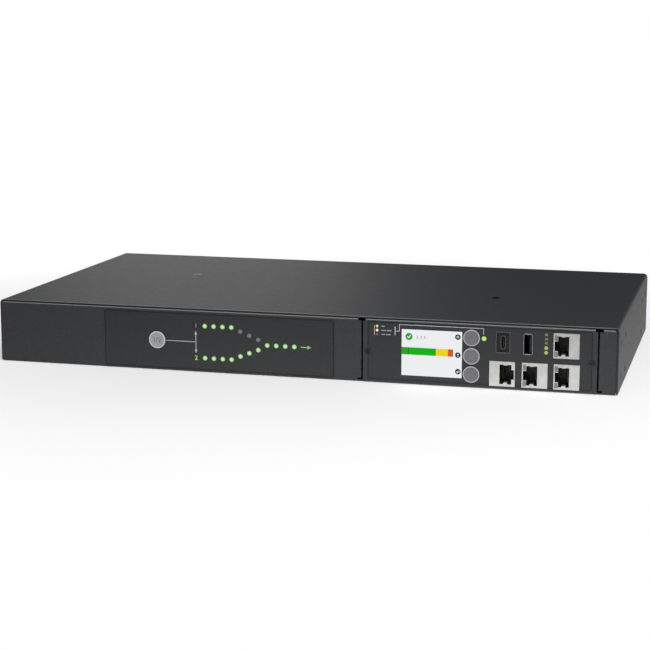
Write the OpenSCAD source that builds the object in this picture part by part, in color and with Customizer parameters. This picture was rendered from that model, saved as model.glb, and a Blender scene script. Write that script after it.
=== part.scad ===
// Rack automatic transfer switch, 1U high: a folded steel tray and cover that hold
// a power board with two sets of relays, a mimic display, a slide-in control
// module with a colour screen, and mains sockets on the rear wall.
// +Z is up, -Y is the front, and the origin is at the middle of the base.

/* [Steelwork] */
// Width over the sides of the cover
case_w = 432; // [428:1:445]
// Depth from the front wall to the rear wall
case_d = 236; // [230:1:300]
// Height with the cover on
case_h = 44; // [43.6:0.1:46]
// Thickness of the folded steel sheet
sheet = 1.2; // [1:0.1:1.4]
// Outer radius of the cover's two long bends
cover_bend_r = 3; // [2:0.1:4]
// Outer radius of the bends in the tray and in the module's sheet
tray_bend_r = 1.5; // [1.45:0.05:1.8]
// Gap between the cover and the tray inside it
cover_gap = 0.2; // [0.1:0.05:0.4]
// How far the cover's front and rear edges stay back from the tray's walls
cover_setback = 1.2; // [0.6:0.1:2]
// Height of the cover's lower edges above the base
skirt_lift = 0.4; // [0.2:0.1:1.5]
// Depth of the return flanges along the top of the front and rear walls
return_flange = 10; // [8:0.5:12]

/* [Cover screws and ear holes] */
// Radius of a countersunk screw's head
csk_head_r = 3.4; // [3:0.1:4]
// Radius of the shank of a cover screw
cover_screw_r = 1.75; // [1.5:0.05:1.9]
// Height of the cover's side screws
side_screw_z = 19; // [17:0.5:22]
// Distance of the cover's side screws from the front and rear faces
side_screw_inset = 80; // [70:1:100]
// Distance of the left top screw from the left side
top_screw_a_side = 97.5; // [96:0.5:110]
// Distance of the left top screw from the front face
top_screw_a_front = 142.6; // [138:0.1:146]
// Distance of the right top screw from the right side
top_screw_b_side = 95.1; // [88:0.1:102]
// Distance of the right top screw from the front face
top_screw_b_front = 94.9; // [94.5:0.1:110]
// Distance of the nearer ear holes from the front or rear face
ear_inset = 20; // [15:1:24]
// Spacing of the ear holes along the depth
ear_pitch_y = 30; // [24:1:34]
// Spacing of the ear holes in height
ear_pitch_z = 23; // [16:1:24]
// Height of the lower ear holes
ear_low_z = 8; // [7:0.5:9]
// Radius of the ear holes' thread in the tray
ear_thread_r = 1.8; // [1.75:0.05:1.9]
// Radius of the ear holes in the cover
ear_clear_r = 2.25; // [2.1:0.05:2.6]

/* [Display] */
// Bare steel between the display's label and the control module's bay
display_gap = 18.85; // [16:0.05:21]
// Width of the display's label
display_label_w = 164.2; // [160:0.1:170]
// Bare steel above and below both labels
label_edge = 1.8; // [1.5:0.1:3]
// Thickness of both labels
label_t = 0.25; // [0.2:0.05:0.4]
// Distance between neighbouring lights of the mimic diagram
mimic_pitch = 6.35; // [5.6:0.05:6.5]
// Height of each of the two source rows above or below the output row
mimic_rise = 11.15; // [10.6:0.05:11.6]
// Step in height where a source row runs down to the output row
mimic_step = 2.54; // [2.2:0.02:2.6]
// Radius of a light of the mimic diagram
mimic_r = 1.7; // [1.4:0.05:1.9]
// Radius of the preference button
pref_r = 6; // [5:0.1:6.6]
// Travel of the preference button
pref_travel = 0.8; // [0.4:0.1:1]

/* [Control module] */
// Distance from the right side to the module's bay
bay_side = 12.25; // [11.5:0.05:13]
// Width of the module's bay
bay_w = 157.5; // [157:0.1:160]
// Gap between the bay's edge and the module at each side
bay_gap = 1.2; // [0.8:0.1:1.4]
// How much higher the module's floor is than the radius of the tray's bends
module_lift = 0.2; // [0.1:0.05:0.4]
// Margin of steel left beside the module's label
label_margin = 3.2; // [2.4:0.1:3.6]
// Length of the module's floor, from the front face
module_len = 90; // [84:1:90]
// Distance of each module screw from the module's nearer end
module_screw_inset = 3.55; // [3:0.05:4.2]
// Radius of a module screw's head
module_screw_head_r = 2.7; // [2.3:0.1:2.8]
// Visible width of the screen
lcd_w = 40.4; // [38:0.1:41]
// Visible height of the screen
lcd_h = 30.9; // [28:0.1:31.5]
// Radius of each of the three keys
key_r = 5.55; // [5:0.05:5.6]
// Distance between the keys
key_pitch = 12.25; // [12.2:0.05:12.5]
// Travel of the keys
key_travel = 0.6; // [0.3:0.1:0.8]
// Clearance around the keys and the preference button
key_gap = 0.3; // [0.2:0.05:0.4]
// How far the keys and the button stand out of the labels
key_proud = 0.65; // [0.4:0.05:1.2]

/* [Ports] */
// Width of a jack's face
jack_w = 16.8; // [16.4:0.1:17]
// Height of a jack's face
jack_h = 16.6; // [15.8:0.1:16.8]
// Length of a jack's shield
jack_len = 16; // [14:0.5:17]
// Distance between the output jack and the two jacks at its right
jack_pitch = 20.4; // [20:0.05:20.8]
// Distance between the input jack and the output jack
input_jack_pitch = 21.3; // [20.8:0.05:21.6]
// Thickness of a jack's metal shield
shield_t = 0.4; // [0.3:0.05:0.5]
// Height of a jack's opening, where the plug's width goes
plug_w = 13; // [12.6:0.1:13.2]
// Width of a jack's opening without its latch slot
plug_t = 7.1; // [6.8:0.1:7.4]
// Width of the input jack's wider opening without its latch slot
input_plug_t = 7.8; // [7.2:0.1:8]
// Depth of a jack's cavity
plug_depth = 13; // [12:0.5:13.5]
// Outer width of the USB-A shell
usb_a_w = 6.1; // [5.7:0.1:6.4]
// Outer height of the USB-A shell
usb_a_h = 13.5; // [12.8:0.1:13.8]
// Outer width of the USB-C shell
usb_c_w = 3.26; // [3.1:0.02:3.4]
// Outer height of the USB-C shell
usb_c_h = 8.94; // [8.8:0.02:9.2]

/* [Rear sockets] */
// Height of a socket's flange
flange_h = 29; // [28:0.5:30]
// Thickness of a socket's flange
flange_t = 1.6; // [1.2:0.1:2]
// Width of the flange of an inlet or of the large outlet
inlet_flange_w = 37; // [36:0.5:38]
// Width of the inside of an inlet
inlet_w = 28; // [27.6:0.1:28.6]
// Height of the inside of an inlet
inlet_h = 21; // [20.6:0.1:21.4]
// Depth of the inside of an inlet
inlet_depth = 17; // [15:0.5:18]
// Distance between neighbouring outlets of a bank
outlet_pitch = 32; // [31:0.1:32.4]
// Depth of the groove around an outlet's core
outlet_depth = 14; // [12:0.5:15]
// Gap around a socket's body in the rear wall
socket_gap = 0.2; // [0.1:0.05:0.3]

/* [Boards] */
// Thickness of the circuit boards
board_t = 1.6; // [1.2:0.1:2]
// Height of the stand-offs under the level boards
standoff_h = 6.8; // [5:0.2:8]
// Distance from the front face to the display board
display_board_depth = 8; // [7.6:0.1:9]
// Distance from the front face to the module's upright board
front_board_depth = 16.4; // [16.2:0.1:18]
// Distance from the front wall to the power board
board_front_gap = 22; // [20:0.5:24]
// Distance from the power board to the rear wall
board_rear_gap = 32; // [30:0.5:34]
// Distance from the power board to the left wall
board_side_gap = 7; // [5:0.5:9]
// Distance from the power board to the control module's bay
board_bay_gap = 8.65; // [6:0.05:12]

/* [Components] */
// Length of a relay
relay_len = 29; // [26:0.5:31]
// Width of a relay
relay_w = 13; // [12:0.5:15]
// Height of a relay
relay_h = 25.5; // [20:0.5:30]
// Length of a filter capacitor
capacitor_len = 26.5; // [22:0.5:28]
// Width of a filter capacitor
capacitor_w = 10; // [8:0.5:12]
// Height of a filter capacitor
capacitor_h = 19; // [15:0.5:24]
// Radius of a varistor's disc
varistor_r = 7.2; // [5:0.1:7.4]
// Thickness of a varistor's disc
varistor_t = 4.4; // [3:0.1:6]
// Outer radius of a current sensor's ring
sensor_r = 11; // [9.5:0.5:12]
// Radius of the hole in a current sensor's ring
sensor_hole_r = 5; // [3:0.5:6]
// Thickness of a current sensor's ring
sensor_t = 9; // [7:0.5:11]
// Width of a supply transformer's bobbin
transformer_w = 26; // [22:0.5:34]
// Depth of a supply transformer's bobbin
transformer_d = 22; // [20:0.5:26]
// Height of a supply transformer's core
transformer_h = 22; // [18:0.5:28]
// Radius of a fuse's tube
fuse_r = 2.6; // [2.4:0.1:3.2]
// Length of a fuse's tube
fuse_len = 23; // [20:0.5:25]
// Width of the processor's heat sink
heatsink_w = 26; // [20:0.5:28]
// Height of the processor's heat sink
heatsink_h = 13.5; // [8:0.5:20]
// Radius of the clock's coin cell
cell_r = 10; // [8:0.5:11]

/* [Hidden] */
$fn = 48;
eps = 0.01;

front_y = -case_d / 2;
rear_y = case_d / 2;
tray_w = case_w - 2 * (sheet + cover_gap);
tray_h = case_h - sheet - cover_gap;
face_z = tray_h / 2;
side_wall_h = case_h - 6;
notch = 2.4;

label_h = tray_h - 2 * label_edge;
bay_x = case_w / 2 - bay_side - bay_w / 2;
bay_left = bay_x - bay_w / 2;
bay_right = bay_x + bay_w / 2;
display_x = bay_left - display_gap - display_label_w / 2;
display_z = face_z - 0.3;
label_y = front_y - label_t;
display_board_y = front_y + display_board_depth;
mimic_x0 = display_x - 8.9;
pref_x = display_x - 43.45;
letter_x = mimic_x0 - mimic_pitch;

module_w = bay_w - 2 * bay_gap;
module_z0 = tray_bend_r + module_lift;
module_foot = 0.3;
module_top = tray_h;
module_notch = 1.6;
module_label_w = module_w - 2 * label_margin;
module_screw_z = face_z - 1;
module_screw_r = 1.5;
module_screw_dx = module_w / 2 - module_screw_inset;
front_board_y = front_y + front_board_depth;
lcd_x = bay_x - 31;
lcd_z = face_z + 0.1;
// How far the screen's rear part reaches past its picture, at the left and right
lcd_tail = 3;
lcd_lip = 0.25;
lcd_t = 2;
key_x = bay_x - 4.4;
key_z = face_z - 0.2;
key_flange_r = key_r + key_gap + 0.1;
switch_h = 4.6;
pref_switch_gap = 0.15;
key_stem_r = 1.9;
key_stem_fit = 0.06;
key_names = ["menu_key", "scroll_key", "select_key"];
status_pos = [bay_x + 3.8, face_z + 11.9];
status_r = 1.7;
level_pos = [bay_left + 10.85, face_z + 14.1];
level_pitch = 2.75;
level_r = 0.9;
link_pos = [bay_x + 44.5, face_z + 6.25];
link_pitch = 3.1;
link_r = 1.3;
light_gap = 0.1;

// Places of the four jacks: x, z and which way the latch slot points
jack_right_x = bay_x + 57.7;
jack_floor_gap = 2.05;
jack_roof_gap = 3.4;
jack_low_z = jack_floor_gap + jack_h / 2;
jack_high_z = tray_h - jack_roof_gap - jack_h / 2;
network_pos = [jack_right_x - 0.2, jack_high_z, -1];
universal_pos = [jack_right_x + 0.3, jack_low_z, -1];
output_pos = [jack_right_x - jack_pitch, jack_low_z, -1];
input_pos = [jack_right_x - jack_pitch - input_jack_pitch, jack_low_z, 1];
jacks = [network_pos, universal_pos, output_pos, input_pos];
jack_gap = 0.25;
jack_mouth_dx = 1.85;
jack_mouth_dz = -0.3;
input_wall = 0.2;
latch_w = 6.4;
latch_t = 2.2;
input_latch_t = 1.7;
jack_light_w = 1.9;
jack_light_h = 3.3;
jack_light_gap = 0.12;
jack_light_dz = 5.4;
jack_light_len = 3.4;
finger_w = 2.5;
finger_len = 5;
finger_t = 0.3;
finger_reach_up = 0.4;
finger_reach_low = 1.05;
contact_count = 8;
contact_pitch = 1.02;
contact_depth = 3.6;

usb_a_pos = [bay_x + 32.7, face_z + 9.6];
usb_a_flare = 0.35;
usb_gap = 0.2;
usb_c_pos = [bay_x + 16.3, face_z + 10];
usb_c_frame = [9.7, 14.3];
usb_c_lip = 0.6;
usb_wall = 0.35;

floor_board_z = sheet + standoff_h;
power_board_x0 = -tray_w / 2 + sheet + board_side_gap;
power_board_y0 = front_y + board_front_gap;
power_board_w = bay_left - board_bay_gap - power_board_x0;
power_board_d = case_d - board_front_gap - board_rear_gap;
module_board_z = module_z0 + sheet + standoff_h - 1.4;

socket_z = face_z + 0.2;
inlet_a_x = -case_w / 2 + 25.5;
inlet_b_x = inlet_a_x + inlet_flange_w + 2.5;
bank_w = 4 * outlet_pitch;
bank_flange_w = bank_w + 3;
bank_1_x = inlet_b_x + inlet_flange_w / 2 + 3 + bank_flange_w / 2;
bank_2_x = bank_1_x + bank_flange_w + 3;
large_outlet_x = bank_2_x + bank_flange_w / 2 + 3 + inlet_flange_w / 2;
earth_x = large_outlet_x + inlet_flange_w / 2 + 13;
socket_body_h = 24.6;
inlet_body_w = inlet_w + 2.8;
inlet_body_len = inlet_depth + 5;
outlet_body_len = outlet_depth + 5;
blade_w = 8;
blade_t = 2;
blade_dx = 6.5;
blade_dz = 4;
strip_pitch = 7.5;

// Places of the two posts under the cover's top screws
post_a = [-case_w / 2 + top_screw_a_side, front_y + top_screw_a_front];
post_b = [case_w / 2 - top_screw_b_side, front_y + top_screw_b_front];
post_flats = 7;

// ---------------------------------------------------------------- helpers

// A round bar along Y from one depth to another
module rod_y(r, y0, y1) {
    translate([0, y1, 0]) rotate([90, 0, 0]) cylinder(r = r, h = y1 - y0);
}

// A box given by its middle in X and Z and its start and end in Y
module block_y(w, h, y0, y1) {
    translate([-w / 2, y0, -h / 2]) cube([w, y1 - y0, h]);
}

// A quarter of a flat ring in the first quadrant, as a bend looks end on
module bend_section(r) {
    intersection() {
        difference() {
            circle(r);
            circle(r - sheet);
        }
        square(r);
    }
}

// The flat outline of a rectangle with round corners
module round_rect(w, h, r) {
    union() {
        square([w - 2 * r, h], center = true);
        square([w, h - 2 * r], center = true);
        for (sx = [-1, 1], sz = [-1, 1])
            translate([sx * (w / 2 - r), sz * (h / 2 - r)]) circle(r);
    }
}

// An XZ outline swept along Y from y0 to y1
module sweep_y(y0, y1) {
    translate([0, y1, 0]) rotate([90, 0, 0]) linear_extrude(y1 - y0) children();
}

// A YZ outline swept along X over a width centred on x
module sweep_x(x, w) {
    translate([x - w / 2, 0, 0]) rotate([90, 0, 90]) linear_extrude(w) children();
}

// A countersunk screw whose head's flat top is at z = 0, with its shank below
module csk_screw(head_r, shank_r, length, head_t) {
    difference() {
        union() {
            translate([0, 0, -head_t]) cylinder(r1 = shank_r, r2 = head_r, h = head_t);
            translate([0, 0, -length]) cylinder(r = shank_r, h = length - head_t + eps);
        }
        cross_recess(head_r * 0.5, head_t * 0.8);
    }
}

// The cross-shaped recess in a screw head
module cross_recess(reach, depth) {
    for (a = [0, 90])
        rotate([0, 0, a]) translate([-reach, -reach * 0.22, -depth])
            cube([2 * reach, reach * 0.44, depth + 1]);
}

// ---------------------------------------------------------------- case

// The front wall's section: bottom bend, wall, top bend and return flange
module wall_section() {
    r = tray_bend_r;
    translate([front_y + r, r]) rotate(180) bend_section(r);
    translate([front_y, r]) square([sheet, tray_h - 2 * r]);
    translate([front_y + r, tray_h - r]) rotate(90) bend_section(r);
    translate([front_y + r, tray_h - sheet]) square([return_flange - r, sheet]);
}

// One side wall with its bottom bend, on the right
module side_wall() {
    r = tray_bend_r;
    relief = r + 1.5;
    sweep_y(front_y + relief, rear_y - relief) {
        translate([tray_w / 2 - r, r]) rotate(-90) bend_section(r);
        translate([tray_w / 2 - sheet, r]) square([sheet, side_wall_h - r]);
    }
}

// Everything that is cut through the sides for the rack ears, on the right
module ear_holes(r) {
    for (end = [-1, 1], i = [0, 1], k = [0, 1])
        translate([case_w / 2 - 5, end * (case_d / 2 - ear_inset - i * ear_pitch_y),
                   ear_low_z + k * ear_pitch_z])
            rotate([0, 90, 0]) cylinder(r = r, h = 10);
}

// The two side screws' places, on the right, with +Z of the child pointing out
module at_side_screws() {
    for (end = [-1, 1])
        translate([case_w / 2, end * (case_d / 2 - side_screw_inset), side_screw_z])
            rotate([0, 90, 0]) children();
}

module at_top_screws() {
    for (p = [post_a, post_b]) translate([p[0], p[1], case_h]) children();
}

module mimic_lit_places() {
    for (i = [0:10])
        translate([mimic_x0 + i * mimic_pitch, 0, display_z - mimic_height(i)]) children();
    for (i = [0:3])
        translate([mimic_x0 + i * mimic_pitch, 0, display_z + mimic_height(i)]) children();
}

module mimic_dim_places() {
    for (i = [4:6])
        translate([mimic_x0 + i * mimic_pitch, 0, display_z + mimic_height(i)]) children();
}

// Height of the i-th light of a source row above the output row
function mimic_height(i) =
    i < 4 ? mimic_rise : i < 7 ? mimic_rise - (i - 3) * mimic_step : 0;

// The holes for the display's lights, letters and button
module display_holes(gap, y0, y1) {
    mimic_lit_places() rod_y(mimic_r + gap, y0, y1);
    mimic_dim_places() rod_y(mimic_r + gap, y0, y1);
    for (s = [-1, 1])
        translate([letter_x, 0, display_z + s * mimic_rise])
            block_y(3.2 + 2 * gap, 4 + 2 * gap, y0, y1);
    translate([pref_x, 0, display_z]) rod_y(pref_r + key_gap, y0, y1);
}

// The bay for the module, with the notches that free the bends beside it
module bay_cut() {
    y0 = front_y - 1;
    deep = return_flange + 2;
    w = bay_w + 2 * notch;
    translate([bay_left, y0, tray_bend_r]) cube([bay_w, deep, case_h]);
    translate([bay_left, y0, -1]) cube([bay_w, 1 + tray_bend_r, case_h]);
    translate([bay_left - notch, y0, tray_bend_r - 0.3]) cube([w, deep, 1.3]);
    translate([bay_left - notch, y0, tray_h - tray_bend_r]) cube([w, deep, case_h]);
}

module base_tray() color("#3b3c40") {
    r = tray_bend_r;
    difference() {
        union() {
            sweep_x(0, tray_w) wall_section();
            mirror([0, 1, 0]) sweep_x(0, tray_w) wall_section();
            translate([-tray_w / 2 + r, front_y + r, 0])
                cube([tray_w - 2 * r, case_d - 2 * r, sheet]);
            side_wall();
            mirror([1, 0, 0]) side_wall();
        }
        bay_cut();
        corner_chamfers();
        display_holes(0.25, front_y - 1, front_y + 3);
        ear_holes(ear_thread_r);
        mirror([1, 0, 0]) ear_holes(ear_thread_r);
        for (m = [0, 1]) mirror([m, 0, 0]) at_side_screws()
            translate([0, 0, -6]) cylinder(r = cover_screw_r + 0.05, h = 6);
        rear_cutouts();
    }
}

// Chamfers at the walls' upper corners, which keep inside the cover's bends
module corner_chamfers() {
    side = 0.8 * (cover_bend_r - sheet) * sqrt(2);
    for (m = [0, 1])
        mirror([m, 0, 0]) translate([tray_w / 2, 0, tray_h])
            rotate([0, 45, 0]) cube([side, case_d + 2, side], center = true);
}

// Openings in the rear wall for the sockets and the earth screw
module rear_cutouts() {
    y0 = rear_y - 3;
    y1 = rear_y + 1;
    g = 2 * socket_gap;
    for (x = [inlet_a_x, inlet_b_x, large_outlet_x])
        translate([x, 0, socket_z]) block_y(inlet_body_w + g, socket_body_h + g, y0, y1);
    for (x = [bank_1_x, bank_2_x])
        translate([x, 0, socket_z]) block_y(bank_w + g, socket_body_h + g, y0, y1);
    translate([earth_x, 0, socket_z]) rod_y(2, y0, y1);
}

module cover_side() {
    r = cover_bend_r;
    translate([case_w / 2 - r, case_h - r]) bend_section(r);
    translate([case_w / 2 - sheet, skirt_lift]) square([sheet, case_h - r - skirt_lift]);
}

module top_cover() color("#2f3033") difference() {
    sweep_y(front_y + cover_setback, rear_y - cover_setback) {
        r = cover_bend_r;
        translate([-case_w / 2 + r, case_h - sheet]) square([case_w - 2 * r, sheet]);
        cover_side();
        mirror([1, 0]) cover_side();
    }
    ear_holes(ear_clear_r);
    mirror([1, 0, 0]) ear_holes(ear_clear_r);
    at_top_screws() cover_countersink();
    for (m = [0, 1]) mirror([m, 0, 0]) at_side_screws() cover_countersink();
}

module cover_countersink() {
    translate([0, 0, -sheet])
        cylinder(r1 = cover_screw_r + 0.1, r2 = csk_head_r + 0.1, h = sheet);
    translate([0, 0, -sheet - 1]) cylinder(r = cover_screw_r + 0.1, h = sheet + 1);
    translate([0, 0, -eps]) cylinder(r = csk_head_r + 0.1, h = 1);
}

module cover_screws() color("#1c1c1e") {
    at_top_screws() csk_screw(csk_head_r, cover_screw_r, 8, sheet);
    for (m = [0, 1]) mirror([m, 0, 0])
        at_side_screws() csk_screw(csk_head_r, cover_screw_r, 6, sheet);
}

// Hexagonal posts that hold the cover down, each tapped at the top
module cover_posts() color("#b9babd")
    for (p = [post_a, post_b])
        translate([p[0], p[1], sheet]) difference() {
            cylinder(r = post_flats / 2 / cos(30), h = case_h - 2 * sheet, $fn = 6);
            translate([0, 0, case_h - 2 * sheet - 10]) cylinder(r = cover_screw_r + 0.05, h = 11);
        }

// Folded brackets at the sides of the bay: a tab for the module's screw behind
// its face, a step back that leaves the gap beside the module open, and a rail
// along the floor that guides the module in
module bay_bracket(side) {
    rail_len = module_len - 12;
    step_back = 11;
    tab_z = 8;
    tab_h = tray_h - 2 * tab_z;
    x_tab = module_screw_dx - 3;
    x_web = module_screw_dx + module_screw_r + 0.25;
    x_rail = bay_w / 2 + 0.4;
    y0 = front_y + sheet + 0.1;
    translate([bay_x, 0, 0]) mirror([side < 0 ? 1 : 0, 0, 0]) difference() {
        union() {
            translate([x_tab, y0, tab_z]) cube([x_web + sheet - x_tab, sheet, tab_h]);
            translate([x_web, y0, tab_z]) cube([sheet, step_back, tab_h]);
            translate([x_web, y0 + step_back - sheet, tab_z])
                cube([x_rail + sheet - x_web, sheet, tab_h]);
            translate([x_rail, y0 + step_back - sheet, sheet])
                cube([sheet, rail_len, tab_z + tab_h - sheet]);
            translate([x_rail, y0 + step_back - sheet, sheet]) cube([8, rail_len, sheet]);
        }
        translate([module_screw_dx, 0, module_screw_z])
            rod_y(module_screw_r + 0.05, y0 - 1, y0 + sheet + 1);
        translate([x_rail - 1, y0 + step_back, tab_z + 4]) cube([18, rail_len, tray_h]);
    }
}

module bay_brackets() color("#9fa1a5") for (side = [-1, 1]) bay_bracket(side);

// ---------------------------------------------------------------- display

module front_overlay() color("#26272a") difference() {
    translate([display_x, 0, display_z])
        sweep_y(label_y, front_y) round_rect(display_label_w, label_h, 1.2);
    display_holes(light_gap, label_y - 1, front_y + 1);
}

// A light of the mimic diagram: a flat-topped lens on a round base on the board
module mimic_light() {
    rod_y(mimic_r, label_y, display_board_y);
    rod_y(mimic_r + 0.4, display_board_y - 3, display_board_y);
}

module letter_light() {
    block_y(3.2, 4, label_y, display_board_y);
}

module mimic_lights_lit() color("#9be58a") {
    mimic_lit_places() mimic_light();
    translate([letter_x, 0, display_z - mimic_rise]) letter_light();
}

module mimic_lights_dim() color("#77757c") {
    mimic_dim_places() mimic_light();
    translate([letter_x, 0, display_z + mimic_rise]) letter_light();
}

// A round push cap: a shallow dish in front, a flange behind its panel and a
// stem that reaches the switch. The dish faces -Y and the panel's back is at y = 0
module push_cap(r, flange_r, front, stem_end, stem_r) {
    dish = 0.3;
    rim = 0.7;
    translate([0, 0, 0]) rotate([-90, 0, 0]) rotate_extrude() polygon([
        [0, -front + dish], [r - rim - 0.4, -front + dish], [r - rim, -front],
        [r - 0.35, -front], [r, -front + 0.35], [r, 0], [flange_r, 0],
        [flange_r, 1], [stem_r, 1], [stem_r, stem_end], [0, stem_end]
    ]);
}

module preference_button() color("#b4b4b6")
    translate([pref_x, front_y + sheet, display_z])
        push_cap(pref_r, pref_r + 1.2, sheet + label_t + key_proud,
                 display_board_depth - sheet - 2.6 - pref_travel - pref_switch_gap, 2);

module tact_switch(h) {
    block_y(6, 6, -h + 1, 0);
    rod_y(1.6, -h, -h + 1);
}

module tact_switches() color("#303134") {
    translate([pref_x, display_board_y, display_z]) tact_switch(2.6);
    for (k = [0:2])
        translate([key_x, front_board_y, key_z + (1 - k) * key_pitch]) tact_switch(switch_h);
}

module display_board() color("#2c5a3c") difference() {
    translate([display_x, 0, display_z])
        block_y(display_label_w - 4, label_h - 4, display_board_y, display_board_y + board_t);
    for (sx = [-1, 1], sz = [-1, 1])
        translate([display_x + sx * (display_label_w / 2 - 6), 0, display_z + sz * (label_h / 2 - 6)])
            rod_y(1.3, display_board_y - 1, display_board_y + board_t + 1);
}

module display_standoffs() color("#b9babd")
    for (sx = [-1, 1], sz = [-1, 1])
        translate([display_x + sx * (display_label_w / 2 - 6), 0, display_z + sz * (label_h / 2 - 6)]) {
            rod_y(2.6, front_y + sheet, display_board_y);
            rod_y(1.25, display_board_y, display_board_y + board_t + 1.4);
        }

// A flat cable from the display board back and down to the power board
module display_ribbon() color("#8d9096") {
    w = 14;
    t = 1;
    x = display_x + 30;
    y0 = display_board_y + board_t;
    y1 = power_board_y0 + 8;
    top = display_z;
    low = floor_board_z + board_t;
    bend = 3;
    sweep_x(x, w) {
        translate([y0, top]) square([y1 - y0 - bend, t]);
        translate([y1 - bend, top - bend + t]) ribbon_bend(bend, t);
        translate([y1 - t, low]) square([t, top - bend + t - low]);
    }
    translate([x - w / 2 - 1, y0, top - 2.5]) cube([w + 2, 5, 2.5]);
    translate([x - w / 2 - 1, y1 - t - 5, low]) cube([w + 2, 5, 8]);
}

module ribbon_bend(r, t) {
    intersection() {
        difference() {
            circle(r);
            circle(r - t);
        }
        square(r);
    }
}

// ---------------------------------------------------------------- module

// The module's section: a floor that meets the face from behind, the face down in
// front of the tray's floor, the top bend and its return flange
module module_section() {
    r = tray_bend_r;
    translate([front_y + sheet - eps, module_z0]) square([module_len - sheet, sheet]);
    translate([front_y, module_foot]) square([sheet, module_top - module_foot - r]);
    translate([front_y + r, module_top - r]) rotate(90) bend_section(r);
    translate([front_y + r, module_top - sheet]) square([return_flange - r, sheet]);
}

// The openings that the module's face and its label share
module face_openings(y0, y1) {
    translate([lcd_x, 0, lcd_z]) block_y(lcd_w + 0.2, lcd_h + 0.2, y0, y1);
    translate([status_pos[0], 0, status_pos[1]]) rod_y(status_r + light_gap, y0, y1);
    for (k = [-1:1]) {
        translate([level_pos[0], 0, level_pos[1] + k * level_pitch]) rod_y(level_r + light_gap, y0, y1);
    }
    for (k = [-0.5, 0.5])
        translate([link_pos[0], 0, link_pos[1] + k * link_pitch]) rod_y(link_r + light_gap, y0, y1);
    translate([usb_c_pos[0], 0, usb_c_pos[1]])
        block_y(usb_c_frame[0] + 2 * usb_gap, usb_c_frame[1] + 2 * usb_gap, y0, y1);
    translate([usb_a_pos[0], 0, usb_a_pos[1]])
        block_y(usb_a_w + 2 * usb_gap, usb_a_h + 2 * (usb_a_flare + usb_gap), y0, y1);
}

// A jack's opening. Those of the lower jacks can run out at the bottom
module jack_opening(j, y0, y1, run_out) {
    w = jack_w + 2 * jack_gap;
    h = jack_h + 2 * jack_gap;
    drop = run_out && j[1] < face_z ? h : 0;
    translate([j[0] - w / 2, y0, j[1] - h / 2 - drop]) cube([w, y1 - y0, h + drop]);
}

module module_chassis() color("#3b3c40") difference() {
    sweep_x(bay_x, module_w) module_section();
    face_openings(front_y - 1, front_y + sheet + 0.5);
    for (j = jacks) jack_opening(j, front_y - 1, front_y + sheet + 0.5, false);
    // The floor is cut away under the lower jacks
    intersection() {
        for (j = jacks) jack_opening(j, front_y, front_board_y + board_t + 3, true);
        translate([bay_x - module_w / 2, front_y + sheet, 0]) cube([module_w, module_len, 5]);
    }
    // One slot clears all three keys
    translate([key_x, 0, key_z])
        sweep_y(front_y - 1, front_y + sheet + 0.5)
            round_rect(2 * (key_flange_r + key_gap),
                       2 * (key_pitch + key_flange_r + key_gap), key_flange_r + key_gap - 0.1);
    for (side = [-1, 1]) {
        translate([bay_x + side * module_screw_dx, front_y, module_screw_z])
            rotate([90, 0, 0]) {
                translate([0, 0, -sheet - 1]) cylinder(r = module_screw_r + 0.1, h = sheet + 2);
                translate([0, 0, -sheet])
                    cylinder(r1 = module_screw_r + 0.1, r2 = module_screw_head_r + 0.1, h = sheet + eps);
            }
        // Notches that free the top bend at its ends
        translate([bay_x + side * module_w / 2, front_y + return_flange / 2, module_top])
            cube([2 * module_notch, return_flange + 2, 2 * tray_bend_r], center = true);
    }
}

module module_overlay() color("#26272a") difference() {
    translate([bay_x, 0, face_z + 0.4])
        sweep_y(label_y, front_y) round_rect(module_label_w, label_h, 1);
    face_openings(label_y - 1, front_y + 1);
    for (j = jacks) jack_opening(j, label_y - 1, front_y + 1, true);
    for (k = [-1:1])
        translate([key_x, 0, key_z + k * key_pitch]) rod_y(key_r + key_gap, label_y - 1, front_y + 1);
    for (side = [-1, 1])
        translate([bay_x + side * module_screw_dx, 0, module_screw_z])
            rod_y(module_screw_head_r + 0.6, label_y - 1, front_y + 1);
}

module module_screws() color("#1c1c1e")
    for (side = [-1, 1])
        translate([bay_x + side * module_screw_dx, front_y, module_screw_z])
            rotate([90, 0, 0]) csk_screw(module_screw_head_r, module_screw_r, 6, sheet);

module module_front_board() color("#2c5a3c")
    translate([bay_x, 0, face_z])
        block_y(module_w - 14, module_top - 2 * module_z0 - 5, front_board_y, front_board_y + board_t);

// The screen: glass whose front is level with the label
module lcd_panel() color("#eef0f2") translate([lcd_x, 0, lcd_z]) {
    block_y(lcd_w, lcd_h, label_y + 0.05, front_y + sheet);
    translate([(lcd_lip - lcd_tail) / 2, 0, 0])
        block_y(lcd_w + lcd_tail + lcd_lip, lcd_h + 3, front_y + sheet, front_y + sheet + lcd_t);
}

// The plastic channel that holds the screen off the module's upright board. It is
// open above, below and at the side by the keys
module lcd_frame() color("#1e1f21") translate([lcd_x - lcd_tail / 2 - 0.15, 0, lcd_z]) difference() {
    w = lcd_w + lcd_tail + 1.7;
    block_y(w, lcd_h + 3, front_y + sheet + 0.1, front_board_y);
    translate([1, 0, 0]) block_y(w, lcd_h + 4, front_y, front_y + sheet + lcd_t);
    block_y(w - 5, lcd_h - 4, front_y, front_board_y + 1);
}

module key_cap(k) {
    translate([key_x, front_y, key_z + (1 - k) * key_pitch])
        push_cap(key_r, key_flange_r, label_t + key_proud,
                 front_board_depth - switch_h - key_travel - 0.15, key_stem_r);
}

module menu_key() color("#7c7c80") key_cap(0);
module scroll_key() color("#7c7c80") key_cap(1);
module select_key() color("#7c7c80") key_cap(2);

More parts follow.
